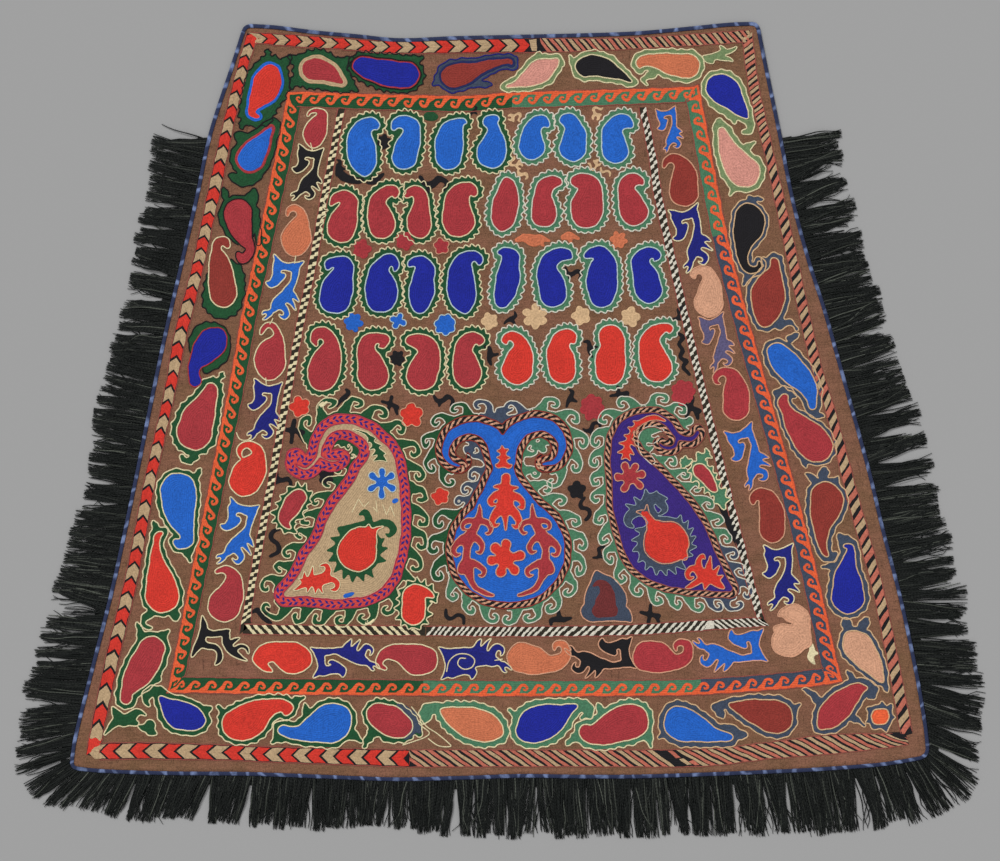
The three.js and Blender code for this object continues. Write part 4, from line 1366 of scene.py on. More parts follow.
motif(inner_work, "black", [[(-447, -323, 0.8), (-445, -334, 4), (-444, -349, 6), (-450, -365, 6.4),
     (-457, -378, 4), (-463, -388, 0.8)],
    [(-450, -366, 6), (-438, -370, 5), (-428, -372, 5), (-421, -380, 4.6), (-421, -391, 4.2),
     (-426, -398, 1.6)], [(-444, -350, 6), (-430, -352, 5), (-415, -350, 5), (-403, -347, 1)],
    [(-411, -352, 5.4), (-410, -365, 6), (-402, -377, 6), (-391, -386, 4), (-377, -392, 0.8)],
    [(-405, -366, 4), (-397, -361, 3), (-389, -357, 0.8)],
    [(-398, -376, 4.4), (-390, -371, 3.4), (-381, -373, 3), (-377, -381, 1.6)]])
inner_work.sew()

# ---- The four rows of buds in the field ----
# Thirty-one buds of chain stitch worked round and round, blue above, then crimson, royal blue and
# red. Each stands in a green halo with a scalloped outline, and small flowers fill the gaps.

SCALLOPS = (10.0, 4.2, 0.75, 0.4)
ROWS_OF_BUDS = [
    ("bright blue", "pale blue", 4, [
        [(-203, 338, 4), (-204, 352, 17), (-207, 370, 22), (-210, 388, 19), (-207, 404, 14), (-195, 412, 10),
         (-186, 411, 6), (-184, 406, 2.5)],
        [(-143, 363, 19), (-139, 378, 18), (-133, 394, 14), (-133, 408, 12.5), (-143, 415, 10),
         (-155, 413, 7), (-160, 406, 4)],
        [(-77, 364, 20), (-76, 384, 21), (-73, 398, 18), (-66, 410, 10.5), (-55, 417, 4), (-51, 413, 1.5)],
        [(-13, 368, 22), (-9, 384, 17.5), (-8, 399, 10), (-11, 409, 8.5), (-17, 417, 8.5), (-6, 420, 5)],
        [(48, 378, 19.5), (47, 392, 16.5), (49, 404, 12.5), (55, 414, 11), (65, 416, 8.5), (71, 411, 4)],
        [(109, 376, 20), (112, 392, 18), (112, 403, 13), (106, 415, 12), (98, 419, 9)],
        [(173, 372, 19.5), (170, 386, 18), (168, 400, 15), (175, 413, 12), (188, 416, 10), (196, 410, 5)]]),
    ("crimson", "cream", 4, [
        [(-238, 256, 21.5), (-234, 268, 20), (-228, 283, 15), (-225, 296, 11.5), (-233, 304, 8.5),
         (-245, 301, 7.5), (-253, 292, 3.5)],
        [(-177, 260, 20), (-179, 272, 19), (-184, 290, 13.5), (-178, 304, 10.5), (-166, 312, 9),
         (-157, 310, 7), (-158, 303, 3)],
        [(-121, 259, 18), (-121, 272, 17), (-118, 290, 12), (-120, 306, 10), (-130, 312, 8), (-138, 307, 6),
         (-141, 303, 2)],
        [(-62, 267, 24.5), (-65, 293, 19), (-60, 308, 15), (-48, 315, 10), (-39, 311, 6.5), (-40, 306, 3)],
        [(2, 255, 4), (5, 272, 18), (8, 290, 19.5), (11, 305, 17), (12, 320, 11), (10, 325, 7.5)],
        [(66, 277, 19.5), (65, 290, 16.5), (64, 304, 13.5), (68, 318, 13), (78, 325, 9.5), (87, 326, 6.5)],
        [(130, 280, 24), (131, 292, 24), (135, 308, 19), (134, 322, 14), (122, 328, 10), (113, 326, 7.5),
         (115, 318, 2)],
        [(201, 281, 21.5), (196, 295, 18), (190, 310, 13.5), (192, 324, 11.5), (203, 329, 9), (212, 326, 5),
         (213, 321, 2)]]),
    ("royal", "pale blue", 4, [
        [(-247, 152, 24), (-243, 168, 23), (-236, 186, 16), (-233, 200, 12.5), (-243, 206, 8),
         (-255, 203, 7), (-258, 197, 4)],
        [(-178, 153, 23.5), (-178, 167, 24), (-182, 186, 16), (-177, 200, 11.5), (-166, 209, 9.5),
         (-157, 202, 6.5), (-158, 193, 2.5)],
        [(-120, 131, 3), (-120, 145, 15), (-117, 163, 19), (-115, 180, 16.5), (-112, 195, 14),
         (-118, 205, 9), (-130, 205, 7), (-135, 200, 3)],
        [(-52, 133, 5), (-56, 150, 19), (-58, 170, 21.5), (-59, 190, 18), (-55, 206, 13), (-42, 214, 8),
         (-31, 210, 6), (-31, 203, 3)],
        [(4, 148, 12), (8, 162, 16.5), (12, 180, 18), (14, 198, 15), (16, 212, 13), (8, 220, 7),
         (0, 219, 4)],
        [(80, 158, 20.5), (77, 172, 20), (71, 190, 15.5), (74, 205, 13), (86, 215, 11), (98, 217, 9.5),
         (104, 213, 5)],
        [(153, 157, 20), (153, 174, 23.5), (154, 190, 22), (158, 206, 15), (152, 219, 10), (138, 219, 8.5),
         (131, 215, 5)],
        [(223, 164, 20.5), (219, 180, 19.5), (212, 197, 14.5), (211, 210, 12.5), (223, 219, 8.5),
         (235, 217, 6.5), (237, 211, 3), (230, 208, 1.5)]]),
    ("crimson", "cream", 4, [
        [(-266, 34, 22.5), (-262, 50, 24), (-256, 68, 17.5), (-253, 84, 11), (-261, 97, 9.5), (-274, 98, 8),
         (-279, 89, 5.5), (-275, 81, 2.5)],
        [(-190, 36, 23.5), (-194, 52, 19.5), (-200, 68, 14), (-199, 83, 12), (-187, 91, 8.5),
         (-173, 89, 7.5), (-175, 80, 5), (-181, 78, 2)],
        [(-117, 36, 23.5), (-111, 52, 21), (-106, 68, 16.5), (-113, 82, 14), (-127, 87, 10), (-134, 87, 8)],
        [(-49, 38, 21.5), (-52, 55, 18.5), (-55, 70, 14), (-50, 85, 12), (-38, 92, 8.5), (-29, 88, 6.5),
         (-32, 82, 3)],
        [(26, 45, 23.5), (30, 60, 20), (33, 74, 13.5), (29, 87, 10), (17, 94, 7.5), (7, 90, 5.5),
         (9, 83, 2.5)],
        [(94, 43, 20), (91, 58, 21), (88, 75, 16.5), (94, 90, 13.5), (107, 95, 7.5), (111, 86, 3.5)],
        [(165, 43, 22), (166, 60, 22.5), (169, 77, 18.5), (167, 92, 18.5), (160, 99, 11)],
        [(235, 48, 23), (229, 64, 20.5), (224, 82, 15.5), (230, 97, 12), (244, 106, 8), (255, 105, 5),
         (254, 99, 2)]]),
]
field_work = Stitching("field_buds")
for colour, edge, dark_ones, buds in ROWS_OF_BUDS:
    for k, stroke in enumerate(buds):
        own = "red" if edge == "cream" and stroke[0][1] < 100 and k >= 4 else colour
        halo, rim = ("dark green", "cream") if k < dark_ones else ("light green", "white")
        own_edge = edge if k < dark_ones or edge != "cream" else "white"
        motif(field_work, own, [stroke], own_edge, halo, rim, 6.2, teeth=SCALLOPS, edge_width=1.9)
field_work.sew()

# ---- The three large figures ----
# A tan cone with a curled tip, a blue double-horned one and a purple cone. Each is edged with a
# slanting rope of chain stitch and holds flowers, fruit and creatures worked on its own ground.

ROPE_WIDE = 9.3
DASH_SHARE = 0.45
# A rope's strands: the shares of its width that each fills, and how far its dashes are shifted.
TWO_STRANDS = ((0.05, 0.5, 0.0), (0.5, 0.95, -0.46))
DASH = [[(-3.4, -0.8, 1.7), (3.4, 0.8, 1.7)]]


def round_band(line, width, repeats):
    """Ground for a band that runs round a closed line, its share 0 inside and 1 outside."""
    line = evenly(line, 1.0, True)
    side = right_of(line, True)
    line, side = np.vstack([line, line[:1]]), np.vstack([side, side[:1]])
    at = np.linspace(0, repeats, len(line))

    def place(points):
        points = np.asarray(points, float)
        got = read_at(points[:, 0] % repeats, at, np.hstack([line, side]))
        return got[:, :2] + got[:, 2:] * (points[:, 1:2] - 0.5) * width

    return place


def petals(at, reach, size, angles, core=None):
    """Strokes of an open flower: a core, and one round petal at each angle."""
    strokes = [[(at[0], at[1], core or reach * 0.5)]]
    for k, angle in enumerate(angles):
        cos, sin = np.cos(np.radians(angle)), np.sin(np.radians(angle))
        out = reach * (1 + 0.07 * np.sin(5 * k + at[0]))
        strokes.append([(at[0] + reach * 0.4 * cos, at[1] + reach * 0.4 * sin, size * 0.5),
                        (at[0] + out * cos, at[1] + out * sin, size)])
    return strokes


def spikes(at, radius, angles, length, lean, base):
    """Pointed teeth round a place, leaning one way."""
    strokes = []
    for angle in angles:
        foot, tip, out = np.radians(angle), np.radians(angle + lean), radius + length
        strokes.append([(at[0] + radius * np.cos(foot), at[1] + radius * np.sin(foot), base),
                        (at[0] + out * np.cos(tip), at[1] + out * np.sin(tip), 0.6)])
    return strokes


def figure(work, colour, strokes, rope, dash, edge, width, pitch, slant, shares):
    """The figure's own ground and the rope round it. Gives back its chart."""
    chart = Chart(strokes, margin=24)
    fill(work, colour, chart, 0.5, 0.35, 0.2)
    outer, inner = chart.outlines(width), chart.outlines(0)
    points, faces = filled([*outer, *inner], chart.outlines(width / 2, 3, 5))
    away = np.abs(chart.at(points) - width / 2)
    rise = 0.6 + 0.5 * np.clip(1 - 2 * away / width, 0, 1)
    work.add(rope, lay(points, rise), faces, np.column_stack([np.zeros(len(points)), away / ROW_WIDTH]))
    for line in chart.outlines(width / 2, 1.5):
        repeats = int(round(len(line) * 1.5 / pitch))
        place = round_band(line, width * 0.86, repeats)
        for k in range(repeats):
            for near, far, shift in shares:
                start = k + shift + 0.08 * np.sin(2.1 * k)
                end = start + DASH_SHARE
                corners = [(start, near), (start + slant, far), (end + slant, far), (end, near)]
                block(work, dash, place, corners, 1.05, 0.35, (3, 4))
    for line in (*outer, *inner):
        cord(work, edge, line, True, 1.8, 0.8, 0.45)
    return chart


def rope_end(work, rope, dash, edge, line, dashes):
    """The end of a rope, where its two sides run on as one and curl in."""
    chart = Chart([line])
    lines = fill(work, rope, chart, 0, 0.75, 0.3)
    for outline in lines:
        cord(work, edge, outline, True, 1.6, 0.8, 0.5)
    for x, y, turn in dashes:
        motif(work, dash, moved(DASH, (x, y), 1.0, turn), edge=None, lift=1.05)


left_work = Stitching("left_figure")
left_chart = figure(left_work, "tan",
    [[(-183, -120, 31), (-189, -150, 40), (-205, -200, 57), (-216, -239, 59)],
    [(-216, -239, 59), (-250, -257, 44), (-285, -276, 21), (-321, -293, 4)],
    [(-183, -120, 31), (-178, -90, 19), (-186, -70, 11), (-200, -54, 8), (-220, -44, 6), (-243, -42, 5),
     (-260, -52, 4), (-268, -68, 3.4), (-272, -83, 3), (-280, -97, 2.4), (-290, -104, 2), (-300, -103, 1.6),
     (-307, -97, 1), (-306, -88, 0.6)],
    [(-272, -84, 1.5), (-262, -91, 1.5), (-250, -93, 1.5), (-240, -90, 1)]], "rust", "purple", "magenta",
    13.8, 9.6, 0.34, ((0.1, 0.46, 0.0), (0.9, 0.54, 0.3)))
motif(left_work, "dark green", [[(-222, -45.5, 0.8), (-210, -48, 1.6), (-200, -53, 2.6), (-191, -65, 3),
     (-183, -77, 3.2), (-177, -90, 3)], [(-194, -58, 3), (-185, -60, 0.8)],
    [(-194, -60, 3), (-200, -66, 0.8)], [(-188, -68, 3.4), (-176, -71, 0.8)],
    [(-187, -70, 3.4), (-197, -76, 0.8)], [(-183, -78, 3.6), (-171, -83, 0.8)],
    [(-183, -80, 3.6), (-193, -86, 0.8)], [(-178, -87, 4), (-168, -94, 0.8)],
    [(-179, -88, 4), (-190, -94, 0.8)]], lift=0.6, edge_width=1.5)
motif(left_work, "bright blue", petals((-177, -125), 18.5, 5.4, (90, 145, 208, 268, 332, 35), 8),
      edge="pale blue", edge_width=1.5, lift=0.7)
motif(left_work, "bright blue", [[(-159, -154, 3.6), (-155, -152, 3.2)]], edge=None, lift=0.7)
motif(left_work, "bright blue", [[(-232, -295, 3.4), (-224, -293, 3.2), (-218, -291, 0.8)]], edge=None,
    lift=0.7)
motif(left_work, "dark green", [[(-214, -229, 35)], [(-206, -218, 28)],
    [(-238, -195, 5), (-220, -193, 6), (-204, -190, 7)],
    [(-196, -192, 7), (-197, -178, 5), (-203, -170, 4.6), (-210, -174, 2)],
    [(-190, -192, 6), (-176, -186, 5.5), (-164, -188, 5.5), (-160, -198, 5), (-166, -205, 3),
     (-171, -201, 1.6)], *spikes((-214, -229), 33, (126, 148, 174, 195, 218, 240, 258, 278, 299, 339, 3, 23),
    14, 4, 6)], edge=None, lift=0.55)
motif(left_work, "red", [[(-214, -229, 29.5)], [(-210, -218, 25), (-206, -212, 21)],
    [(-200, -206, 14), (-197, -196, 5), (-196, -186, 0.8)],
    [(-194, -204, 9), (-186, -196, 3), (-174, -191, 0.8)]], lift=0.85, edge_width=1.8)
motif(left_work, "red", [[(-310, -287, 0.8), (-295, -279, 4.4), (-280, -272, 7), (-268, -270, 8),
     (-259, -262, 5.4), (-257, -254, 4), (-262, -249, 3), (-269, -251, 1.6)],
    [(-264, -272, 6), (-252, -270, 5), (-244, -277, 4.4), (-247, -286, 3.2), (-254, -286, 1.6)],
    [(-284, -268, 4), (-280, -248, 0.8)], [(-292, -270, 4), (-293, -258, 0.8)],
    [(-284, -276, 5), (-290, -291, 0.8)], [(-276, -278, 5), (-277, -293, 0.8)],
    [(-270, -277, 4), (-265, -293, 0.8)], [(-294, -274, 3), (-302, -268, 0.8)]],
    cuts=[[(-262, -292, 1.4), (-259, -282, 2.2), (-253, -278, 1.6)]], lift=0.7, edge_width=1.6)
for zigzag in (
        [(-222, -170), (-212, -150), (-204, -162), (-196, -154)],
        [(-190, -162), (-184, -170), (-186, -152)],
        [(-176, -158), (-170, -174), (-164, -160), (-158, -176)]):
    cord(left_work, "cream", evenly(np.array(zigzag, float), 2.0), width=1.3, height=0.5, lift=0.5)
left_work.sew()

centre_work = Stitching("centre_figure")
centre_chart = figure(centre_work, "bright blue",
    [[(5, -92, 14), (5, -112, 18), (5, -130, 25), (7, -160, 40), (10, -190, 57), (12, -227, 77)],
    [(6, -227, 77.5), (20, -227, 77.5)],
    [(0, -95, 13), (-3, -78, 13.5), (-11, -58, 14), (-28, -46, 10.5), (-50, -44, 9.2), (-70, -53, 7.6),
     (-80, -68, 6), (-81, -83, 5), (-74, -95, 3.6), (-60, -100, 2.4)],
    [(10, -95, 13), (12, -75, 14), (20, -55, 14), (38, -42, 11.5), (62, -38, 10.4), (82, -47, 9),
     (92, -63, 7), (92, -80, 5.4), (82, -94, 4), (65, -98, 2.8)]], "black", "peach", "red brown", ROPE_WIDE,
    11.2, -0.4, TWO_STRANDS)
rope_end(centre_work, "black", "peach", "red brown",
    [(-60, -105, 4.4), (-52, -104.5, 4.4), (-47.6, -97, 4.2), (-47.6, -88, 3.4), (-49, -80, 1.2)],
    [(-56, -105, 60), (-49, -100, 20), (-47.5, -91, -15)])
rope_end(centre_work, "black", "peach", "red brown",
    [(66, -106, 4.4), (60, -102, 4.4), (57.6, -95, 4.2), (58.4, -88, 3.6), (62, -83, 1.4)],
    [(63, -104, -60), (58, -98, -25), (58, -90, 0)])
motif(centre_work, "red", [[(3, -68, 0.8), (4, -80, 4), (5, -90, 4.4), (5, -98, 4.4)],
    [(4, -79, 3.4), (-6, -77, 0.8)], [(4, -79, 3.4), (14, -76, 0.8)], [(4, -88, 3.6), (-6, -88, 0.8)],
    [(5, -88, 3.6), (16, -88, 0.8)], [(4, -96, 4.4), (-3, -101, 3), (-7, -98, 1)],
    [(6, -96, 4.4), (14, -101, 3), (18, -98, 1)]], edge="peach", lift=0.7, edge_width=1.5)
motif(centre_work, "red", [[(8.6, -118, 7), (8, -127, 6), (7, -137, 7), (8, -150, 12), (8, -163, 11),
     (8, -175, 5), (8, -199, 0.8)], [(6, -132, 4.4), (-3, -131, 3), (-11, -131, 0.8)],
    [(10, -133, 4.4), (20, -133, 3), (28, -132, 0.8)],
    [(1, -143, 7), (-8, -145, 5.6), (-14, -152, 4.4), (-12, -159, 3), (-5, -158, 1.2)],
    [(15, -144, 7), (26, -147, 5.6), (34, -155, 4.4), (33, -163, 3), (26, -162, 1.2)],
    [(1, -165, 7), (-7, -173, 6), (-12, -182, 4.2), (-8, -190, 3), (-1, -187, 1.2)],
    [(16, -166, 7), (24, -174, 6), (29, -184, 4.4), (24, -192, 3), (17, -188, 1.2)]], edge="peach", lift=0.7,
    edge_width=1.7)
motif(centre_work, "red", petals((8, -240), 21.5, 7.6, (87, 132, 185, 250, 310, 14), 13), edge="peach",
    lift=0.7, edge_width=1.8)
PLANT = [[(-30.8, -156, 0.8), (-31, -170, 3.6), (-33, -183, 5.4), (-42, -199, 6.5), (-48, -211, 9),
     (-50, -226, 5), (-50, -241, 6), (-48, -254, 8.5), (-44, -270, 4.4), (-35, -284, 3.8), (-22, -291, 3.4),
     (-10, -294, 2.4)], [(-37, -183, 4.6), (-48, -182, 4), (-56, -187, 3.2), (-55, -195, 2), (-49, -195, 1)],
    [(-27, -184, 4.6), (-18, -186, 4), (-13, -194, 3.4), (-17, -202, 2.4), (-23, -200, 1)],
    [(-54, -211, 8), (-64, -216, 5.2), (-70, -226, 4), (-65, -235, 2.8), (-58, -232, 1.2)],
    [(-40, -207, 6), (-31, -212, 4.6), (-26, -222, 3.8), (-30, -231, 2.6), (-37, -228, 1.2)],
    [(-52, -246, 6.5), (-58, -250, 4.6), (-61, -257, 3.2), (-56, -262, 2)],
    [(-42, -246, 6), (-32, -250, 4.4), (-23, -257, 3.6), (-26, -265, 2.4), (-33, -263, 1.2)]]
motif(centre_work, "crimson", PLANT, edge="peach", lift=0.7, edge_width=1.7)
motif(centre_work, "crimson", moved(PLANT, (18, 0), mirror=True), edge="peach", lift=0.7, edge_width=1.7)
centre_work.sew()

right_work = Stitching("right_figure")
right_chart = figure(right_work, "purple",
    [[(191, -100, 25.5), (205, -125, 36.5), (217, -155, 48.5), (236, -190, 58), (250, -215, 61),
     (285, -245, 41), (317, -267, 21), (343, -284, 6)],
    [(191, -100, 25.5), (185, -78, 19), (182, -60, 13), (190, -42, 11), (210, -30, 8), (232, -27, 6),
     (250, -35, 5), (262, -50, 4.6), (272, -58, 4.4), (288, -60, 3.6), (296, -50, 3)],
    [(265, -60, 3), (260, -72, 3), (245, -72, 2.6), (240, -68, 2)]], "black", "peach", "rose brown", 8.8,
    10.2, -0.4, TWO_STRANDS)
motif(right_work, "red", [[(250, -33, 0.8), (238, -29, 3), (225, -29, 4), (212, -34, 4), (203, -43, 3.6),
     (196, -56, 4), (191, -71, 4), (189, -84, 4)], [(210, -36, 3.6), (198, -33, 0.8)],
    [(201, -46, 4), (191, -42, 0.8)], [(195, -56, 4), (184, -54, 0.8)], [(191, -66, 4.4), (178, -66, 0.8)],
    [(190, -78, 4.6), (175, -80, 0.8)], [(200, -50, 4), (206, -58, 0.8)], [(196, -62, 4), (203, -72, 0.8)],
    [(192, -76, 4.4), (202, -84, 0.8)], [(188, -84, 4), (181, -92, 0.8)], [(190, -84, 4), (195, -93, 0.8)]],
    edge="peach", lift=0.7, edge_width=1.5)
motif(right_work, "crimson", petals((194, -117), 18.5, 5.8, (112, 62, 12, 322, 248, 180), 11), edge="peach",
    lift=0.7, edge_width=1.7)
motif(right_work, "slate", [[(248, -214, 38)], [(244, -218, 38)], [(222, -160, 8), (227, -176, 10)],
    [(218, -168, 8), (205, -168, 8), (194, -176, 7), (192, -187, 5), (199, -191, 2.6)],
    [(214, -164, 9), (224, -152, 8), (236, -148, 7), (252, -150, 1)],
    [(240, -155, 7), (247, -166, 4.4), (240, -173, 2.4)], [(205, -165, 5), (186, -157, 0.8)],
    [(210, -158, 5), (201, -146, 0.8)], [(219, -150, 6), (218, -134, 0.8)],
    [(232, -146, 5), (236, -138, 0.8)],
    *spikes((247, -216), 37, (150, 170, 190, 210, 230, 250, 268, 286, 304), 14, 5, 5.5),
    *spikes((250, -214), 35, (-32, -14, 4, 22, 40, 58), 11, 6, 4.5)], edge="grey blue", lift=0.55,
    edge_width=1.4)
motif(right_work, "red", [[(246, -215, 31), (251, -215, 32)], [(229, -192, 9), (236, -196, 14)],
    [(229, -190, 8), (221, -174, 4.4), (221, -158, 1)], [(220, -176, 5), (213, -170, 3.4), (203, -170, 0.8)],
    [(272, -232, 9), (276, -236, 6)]], edge="peach", lift=0.85, edge_width=1.7)
motif(right_work, "red", [[(300, -260, 8), (315, -268, 8.5), (326, -276, 6), (337, -285, 0.8)],
    [(298, -258, 6), (288, -254, 4.6), (281, -261, 4), (284, -270, 2.6), (290, -267, 1.4)],
    [(302, -270, 5), (288, -279, 3.4), (277, -284, 0.8)],
    [(300, -256, 5.4), (298, -244, 4.2), (303, -235, 3), (307, -240, 1.4)],
    [(313, -258, 6), (315, -234, 0.8)], [(320, -264, 5), (329, -250, 0.8)],
    [(324, -270, 4), (336, -264, 0.8)], [(310, -272, 6), (307, -287, 0.8)]], edge="peach", lift=0.7,
    edge_width=1.6)
right_work.sew()

# ---- The scrolls round the large figures ----
# A running wave of green silk, slate in places, that breaks outwards all round each figure and is
# outlined in one row of cream or pale silk.

SCROLL_PITCH = 31.0
SCROLL = [(11, 4, 6), (15.5, 8, 7), (17, 13, 5.6), (19.6, 18.4, 4.5), (23.2, 21.8, 3.4), (27.4, 23.3, 3.3),
          (31.8, 22, 3.5), (34.6, 18.2, 3.3), (34, 14.4, 3), (31, 12.4, 2.5), (28.2, 13.2, 1.7)]


def part_of(line, start, end):
    """The part of a closed line from the point nearest the start, the shorter way to the end."""
    first = np.hypot(*(line - start).T).argmin()
    line = np.roll(line, -first, axis=0)
    last = np.hypot(*(line - end).T).argmin()
    forward = line[: last + 1]
    backward = np.vstack([line[:1], line[:last - 1:-1]])
    return forward if len(forward) <= len(backward) else backward


def scrolls(work, colour, rim, chart, width, through, pitch):
    """A run of scrolls along the rope round a figure, from place to place."""
    lines = chart.outlines(width - 0.5, 1.0)
    ways = []
    for start, end in zip(through[:-1], through[1:]):
        nearest = min(lines, key=lambda line: np.hypot(*(line - start).T).min())
        ways.append(part_of(nearest, start, end))
    way = evenly(np.vstack(ways), 1.0)
    for _ in range(6):
        way[1:-1] = (way[:-2] + 2 * way[1:-1] + way[2:]) / 4
    side = right_of(way)
    if chart.at(way + 6 * side).mean() < chart.at(way - 6 * side).mean():
        side = -side
    count = max(1, int(round(len(way) / pitch)))
    size = len(way) / count / SCROLL_PITCH
    work.layers += 1
    lift = 0.2 + 0.03 * (work.layers % 5)
    strokes = [[(*point, 4.2) for point in way[::6]]]
    for k in range(count):
        stroke = []
        for s, n, r in SCROLL:
            at = min((k * SCROLL_PITCH + s) * size, len(way) - 1.0)
            over = max((k * SCROLL_PITCH + s) * size - at, 0)
            i = int(at)
            ahead = way[min(i + 3, len(way) - 1)] - way[max(i - 3, 0)]
            ahead = ahead / np.hypot(*ahead)
            point = way[i] + side[i] * n * size + ahead * over
            stroke.append((*point, r * size))
        strokes.append(stroke)
    own = Chart(strokes, cell=0.8)
    fill(work, colour, own, 0, lift, 0.3)
    for line in own.outlines(0, 1.8):
        for part in open_runs(line, chart.at(line) > width + 0.6):
            cord(work, rim, part, False, 1.8, 0.9, lift)


scroll_work = Stitching("scrolls")
# Each run: its colour, the places that it passes, and the pitch of its scrolls.
for chart, width, rim, runs in (
        (left_chart, 13.8, "cream", [
            ("dark green", [(-288, -72), (-270, -30), (-230, -22), (-180, -30), (-140, -100), (-137, -200),
                            (-190, -290), (-345, -306)], 32),
            ("dark green", [(-205, -100), (-250, -175), (-330, -290)], 31),
            ("dark green", [(-252, -66), (-225, -66), (-212, -92)], 18)]),
        (centre_chart, ROPE_WIDE, "white", [
            ("light green", [(48, -18), (85, -22), (112, -70), (95, -108), (75, -112)], 30),
            ("light green", [(36, -95), (45, -125), (95, -170), (108, -240), (80, -300), (10, -320)], 30),
            ("dark green", [(-36, -24), (-80, -38), (-94, -80), (-70, -112)], 28),
            ("slate", [(-27, -100), (-55, -160)], 22),
            ("dark green", [(-57, -163), (-85, -230), (-82, -262)], 30),
            ("light green", [(-82, -265), (-60, -300), (-8, -319)], 29),
            ("slate", [(46, -18), (0, -40), (-32, -24)], 26),
            ("light green", [(36, -92), (38, -66), (56, -56), (72, -70)], 22),
            ("slate", [(-24, -96), (-28, -72), (-50, -62)], 21)]),
        (right_chart, 8.8, "white", [
            ("light green", [(215, -15), (172, -55), (156, -100), (165, -180), (200, -255), (250, -290),
                             (300, -303)], 28),
            ("slate", [(303, -303), (352, -296)], 27),
            ("light green", [(215, -14), (255, -22), (280, -45)], 27),
            ("light green", [(222, -92), (290, -175), (328, -215)], 27),
            ("slate", [(330, -217), (355, -290)], 27)])):
    for colour, through, pitch in runs:
        scrolls(scroll_work, colour, rim, chart, width, through, pitch)
motif(scroll_work, "light green",
    [[(246, -47, 1), (238, -46, 3), (224, -48, 6.5), (215, -58, 7), (213, -70, 6), (219, -83, 5),
     (229, -94, 4)], [(219, -58, 6), (229, -62, 4.4), (236, -60, 2.8), (237, -55, 1.2)],
    [(214, -72, 5), (224, -75, 4), (230, -71, 2)]], edge="white", lift=0.25, edge_width=1.8)
scroll_work.sew()

# ---- Flowers, sprigs and small marks ----
# The gaps of the field hold open flowers, four more buds, and small marks of black silk like
# letters of no alphabet.

small_work = Stitching("small_marks")
LONG_TEETH = (13, 7.5, 1.8, 0.25)
ROUND_FIVE = (90, 162, 234, 306, 18)
ROUND_SIX = (90, 150, 210, 270, 330, 30)
ROUND_FOUR = (45, 135, 225, 315)
ROUND_SEVEN = (90, 141, 193, 244, 296, 347, 39)
for colour, edge, at, across, angles in (
        ("crimson", None, (-207, 225), 15, ROUND_FIVE), ("crimson", None, (-143, 236), 15, ROUND_FIVE),
        ("crimson", "peach", (-88, 229), 13, ROUND_FIVE), ("salmon", None, (178, 238), 14, ROUND_SIX),
        ("bright blue", None, (-220, 115), 15, ROUND_SIX),
        ("bright blue", "pale blue", (-153, 117), 13, ROUND_FOUR),
        ("bright blue", "pale blue", (-82, 112), 17, ROUND_SEVEN),
        ("beige", None, (-15, 117), 14, ROUND_FIVE),
        ("beige", None, (53, 123), 20, ROUND_SIX), ("beige", None, (122, 125), 15, ROUND_FIVE),
        ("beige", None, (195, 123), 16, ROUND_FIVE), ("black", None, (-154, 61), 13, ROUND_SIX),
        ("red", "peach", (-300, -12), 16.5, ROUND_FIVE), ("red", "peach", (-133, -24), 19, ROUND_FIVE),
        ("red", "peach", (-90, -146), 14.5, (85, 20, 315, 243, 170)),
        ("crimson", None, (138, -12), 20, ROUND_SEVEN),
        ("crimson", None, (275, 10), 20, ROUND_SEVEN), ("black", None, (115, -137), 14.5, ROUND_FIVE),
        ("black", None, (-260, -117), 13, ROUND_SIX), ("black", None, (-174, 385), 12, ROUND_SIX)):
    share = 0.38 if len(angles) < 6 else 0.31
    angles = [angle + 22 * np.sin(at[0] + at[1]) for angle in angles]
    flower = petals(at, across * (1 - share), across * share, angles)
    motif(small_work, colour, flower, edge, edge_width=1.6)
motif(small_work, "salmon", [[(25, 238, 3), (38, 242, 6), (50, 237, 9), (62, 241, 5), (75, 237, 2)],
    [(40, 240, 4), (34, 248, 1.4)], [(60, 236, 4), (66, 229, 1.4)]], edge=None)
motif(small_work, "salmon", [[(95, 242, 4.4), (105, 246, 5), (118, 240, 2.2)],
    [(104, 243, 4), (106, 234, 1.6)]], edge=None)
motif(small_work, "crimson", [[(-303, -148, 13), (-312, -160, 14), (-322, -178, 10), (-321, -187, 6),
     (-314, -193, 2)]], halo="dark green", reach=5, teeth=LONG_TEETH, lift=1.3)
motif(small_work, "red", [[(-130, -322, 17), (-129, -308, 18), (-130, -295, 15), (-122, -288, 10),
     (-108, -292, 6), (-100, -297, 2)]], halo="dark green", reach=4, teeth=LONG_TEETH, lift=1.3)
motif(small_work, "slate", [[(146, -262, 5), (150, -274, 14), (157, -291, 26), (158, -302, 32)],
    [(136, -319, 15), (180, -320, 13), (196, -333, 3)]], edge="peach")
motif(small_work, "dark red", [[(138, -283, 2.4), (147, -275, 6), (157, -281, 9.5), (161, -295, 13)],
    [(161, -295, 13), (158, -308, 18)], [(148, -317, 12), (167, -317, 12)]], edge=None, lift=0.6)
motif(small_work, "crimson", [[(300, -108, 11), (308, -116, 10), (316, -128, 8), (322, -136, 4)]],
    halo="light green", reach=3.5, teeth=LONG_TEETH, lift=1.3,
    thorns=[[(325, -138, 6), (330, -148, 8), (333, -155, 6)], [(280, -95, 6), (272, -97, 2)],
    [(300, -90, 6), (315, -80, 1)]])
motif(small_work, "cream", [[(-274, -14, 1.2), (-266, -8, 3.4), (-258, -4, 1.2)]], edge=None)
motif(small_work, "cream", [[(-203, -337, 1), (-196, -334, 3), (-188, -331, 2)],
    [(-196, -334, 2), (-194, -340, 1)]], edge=None)
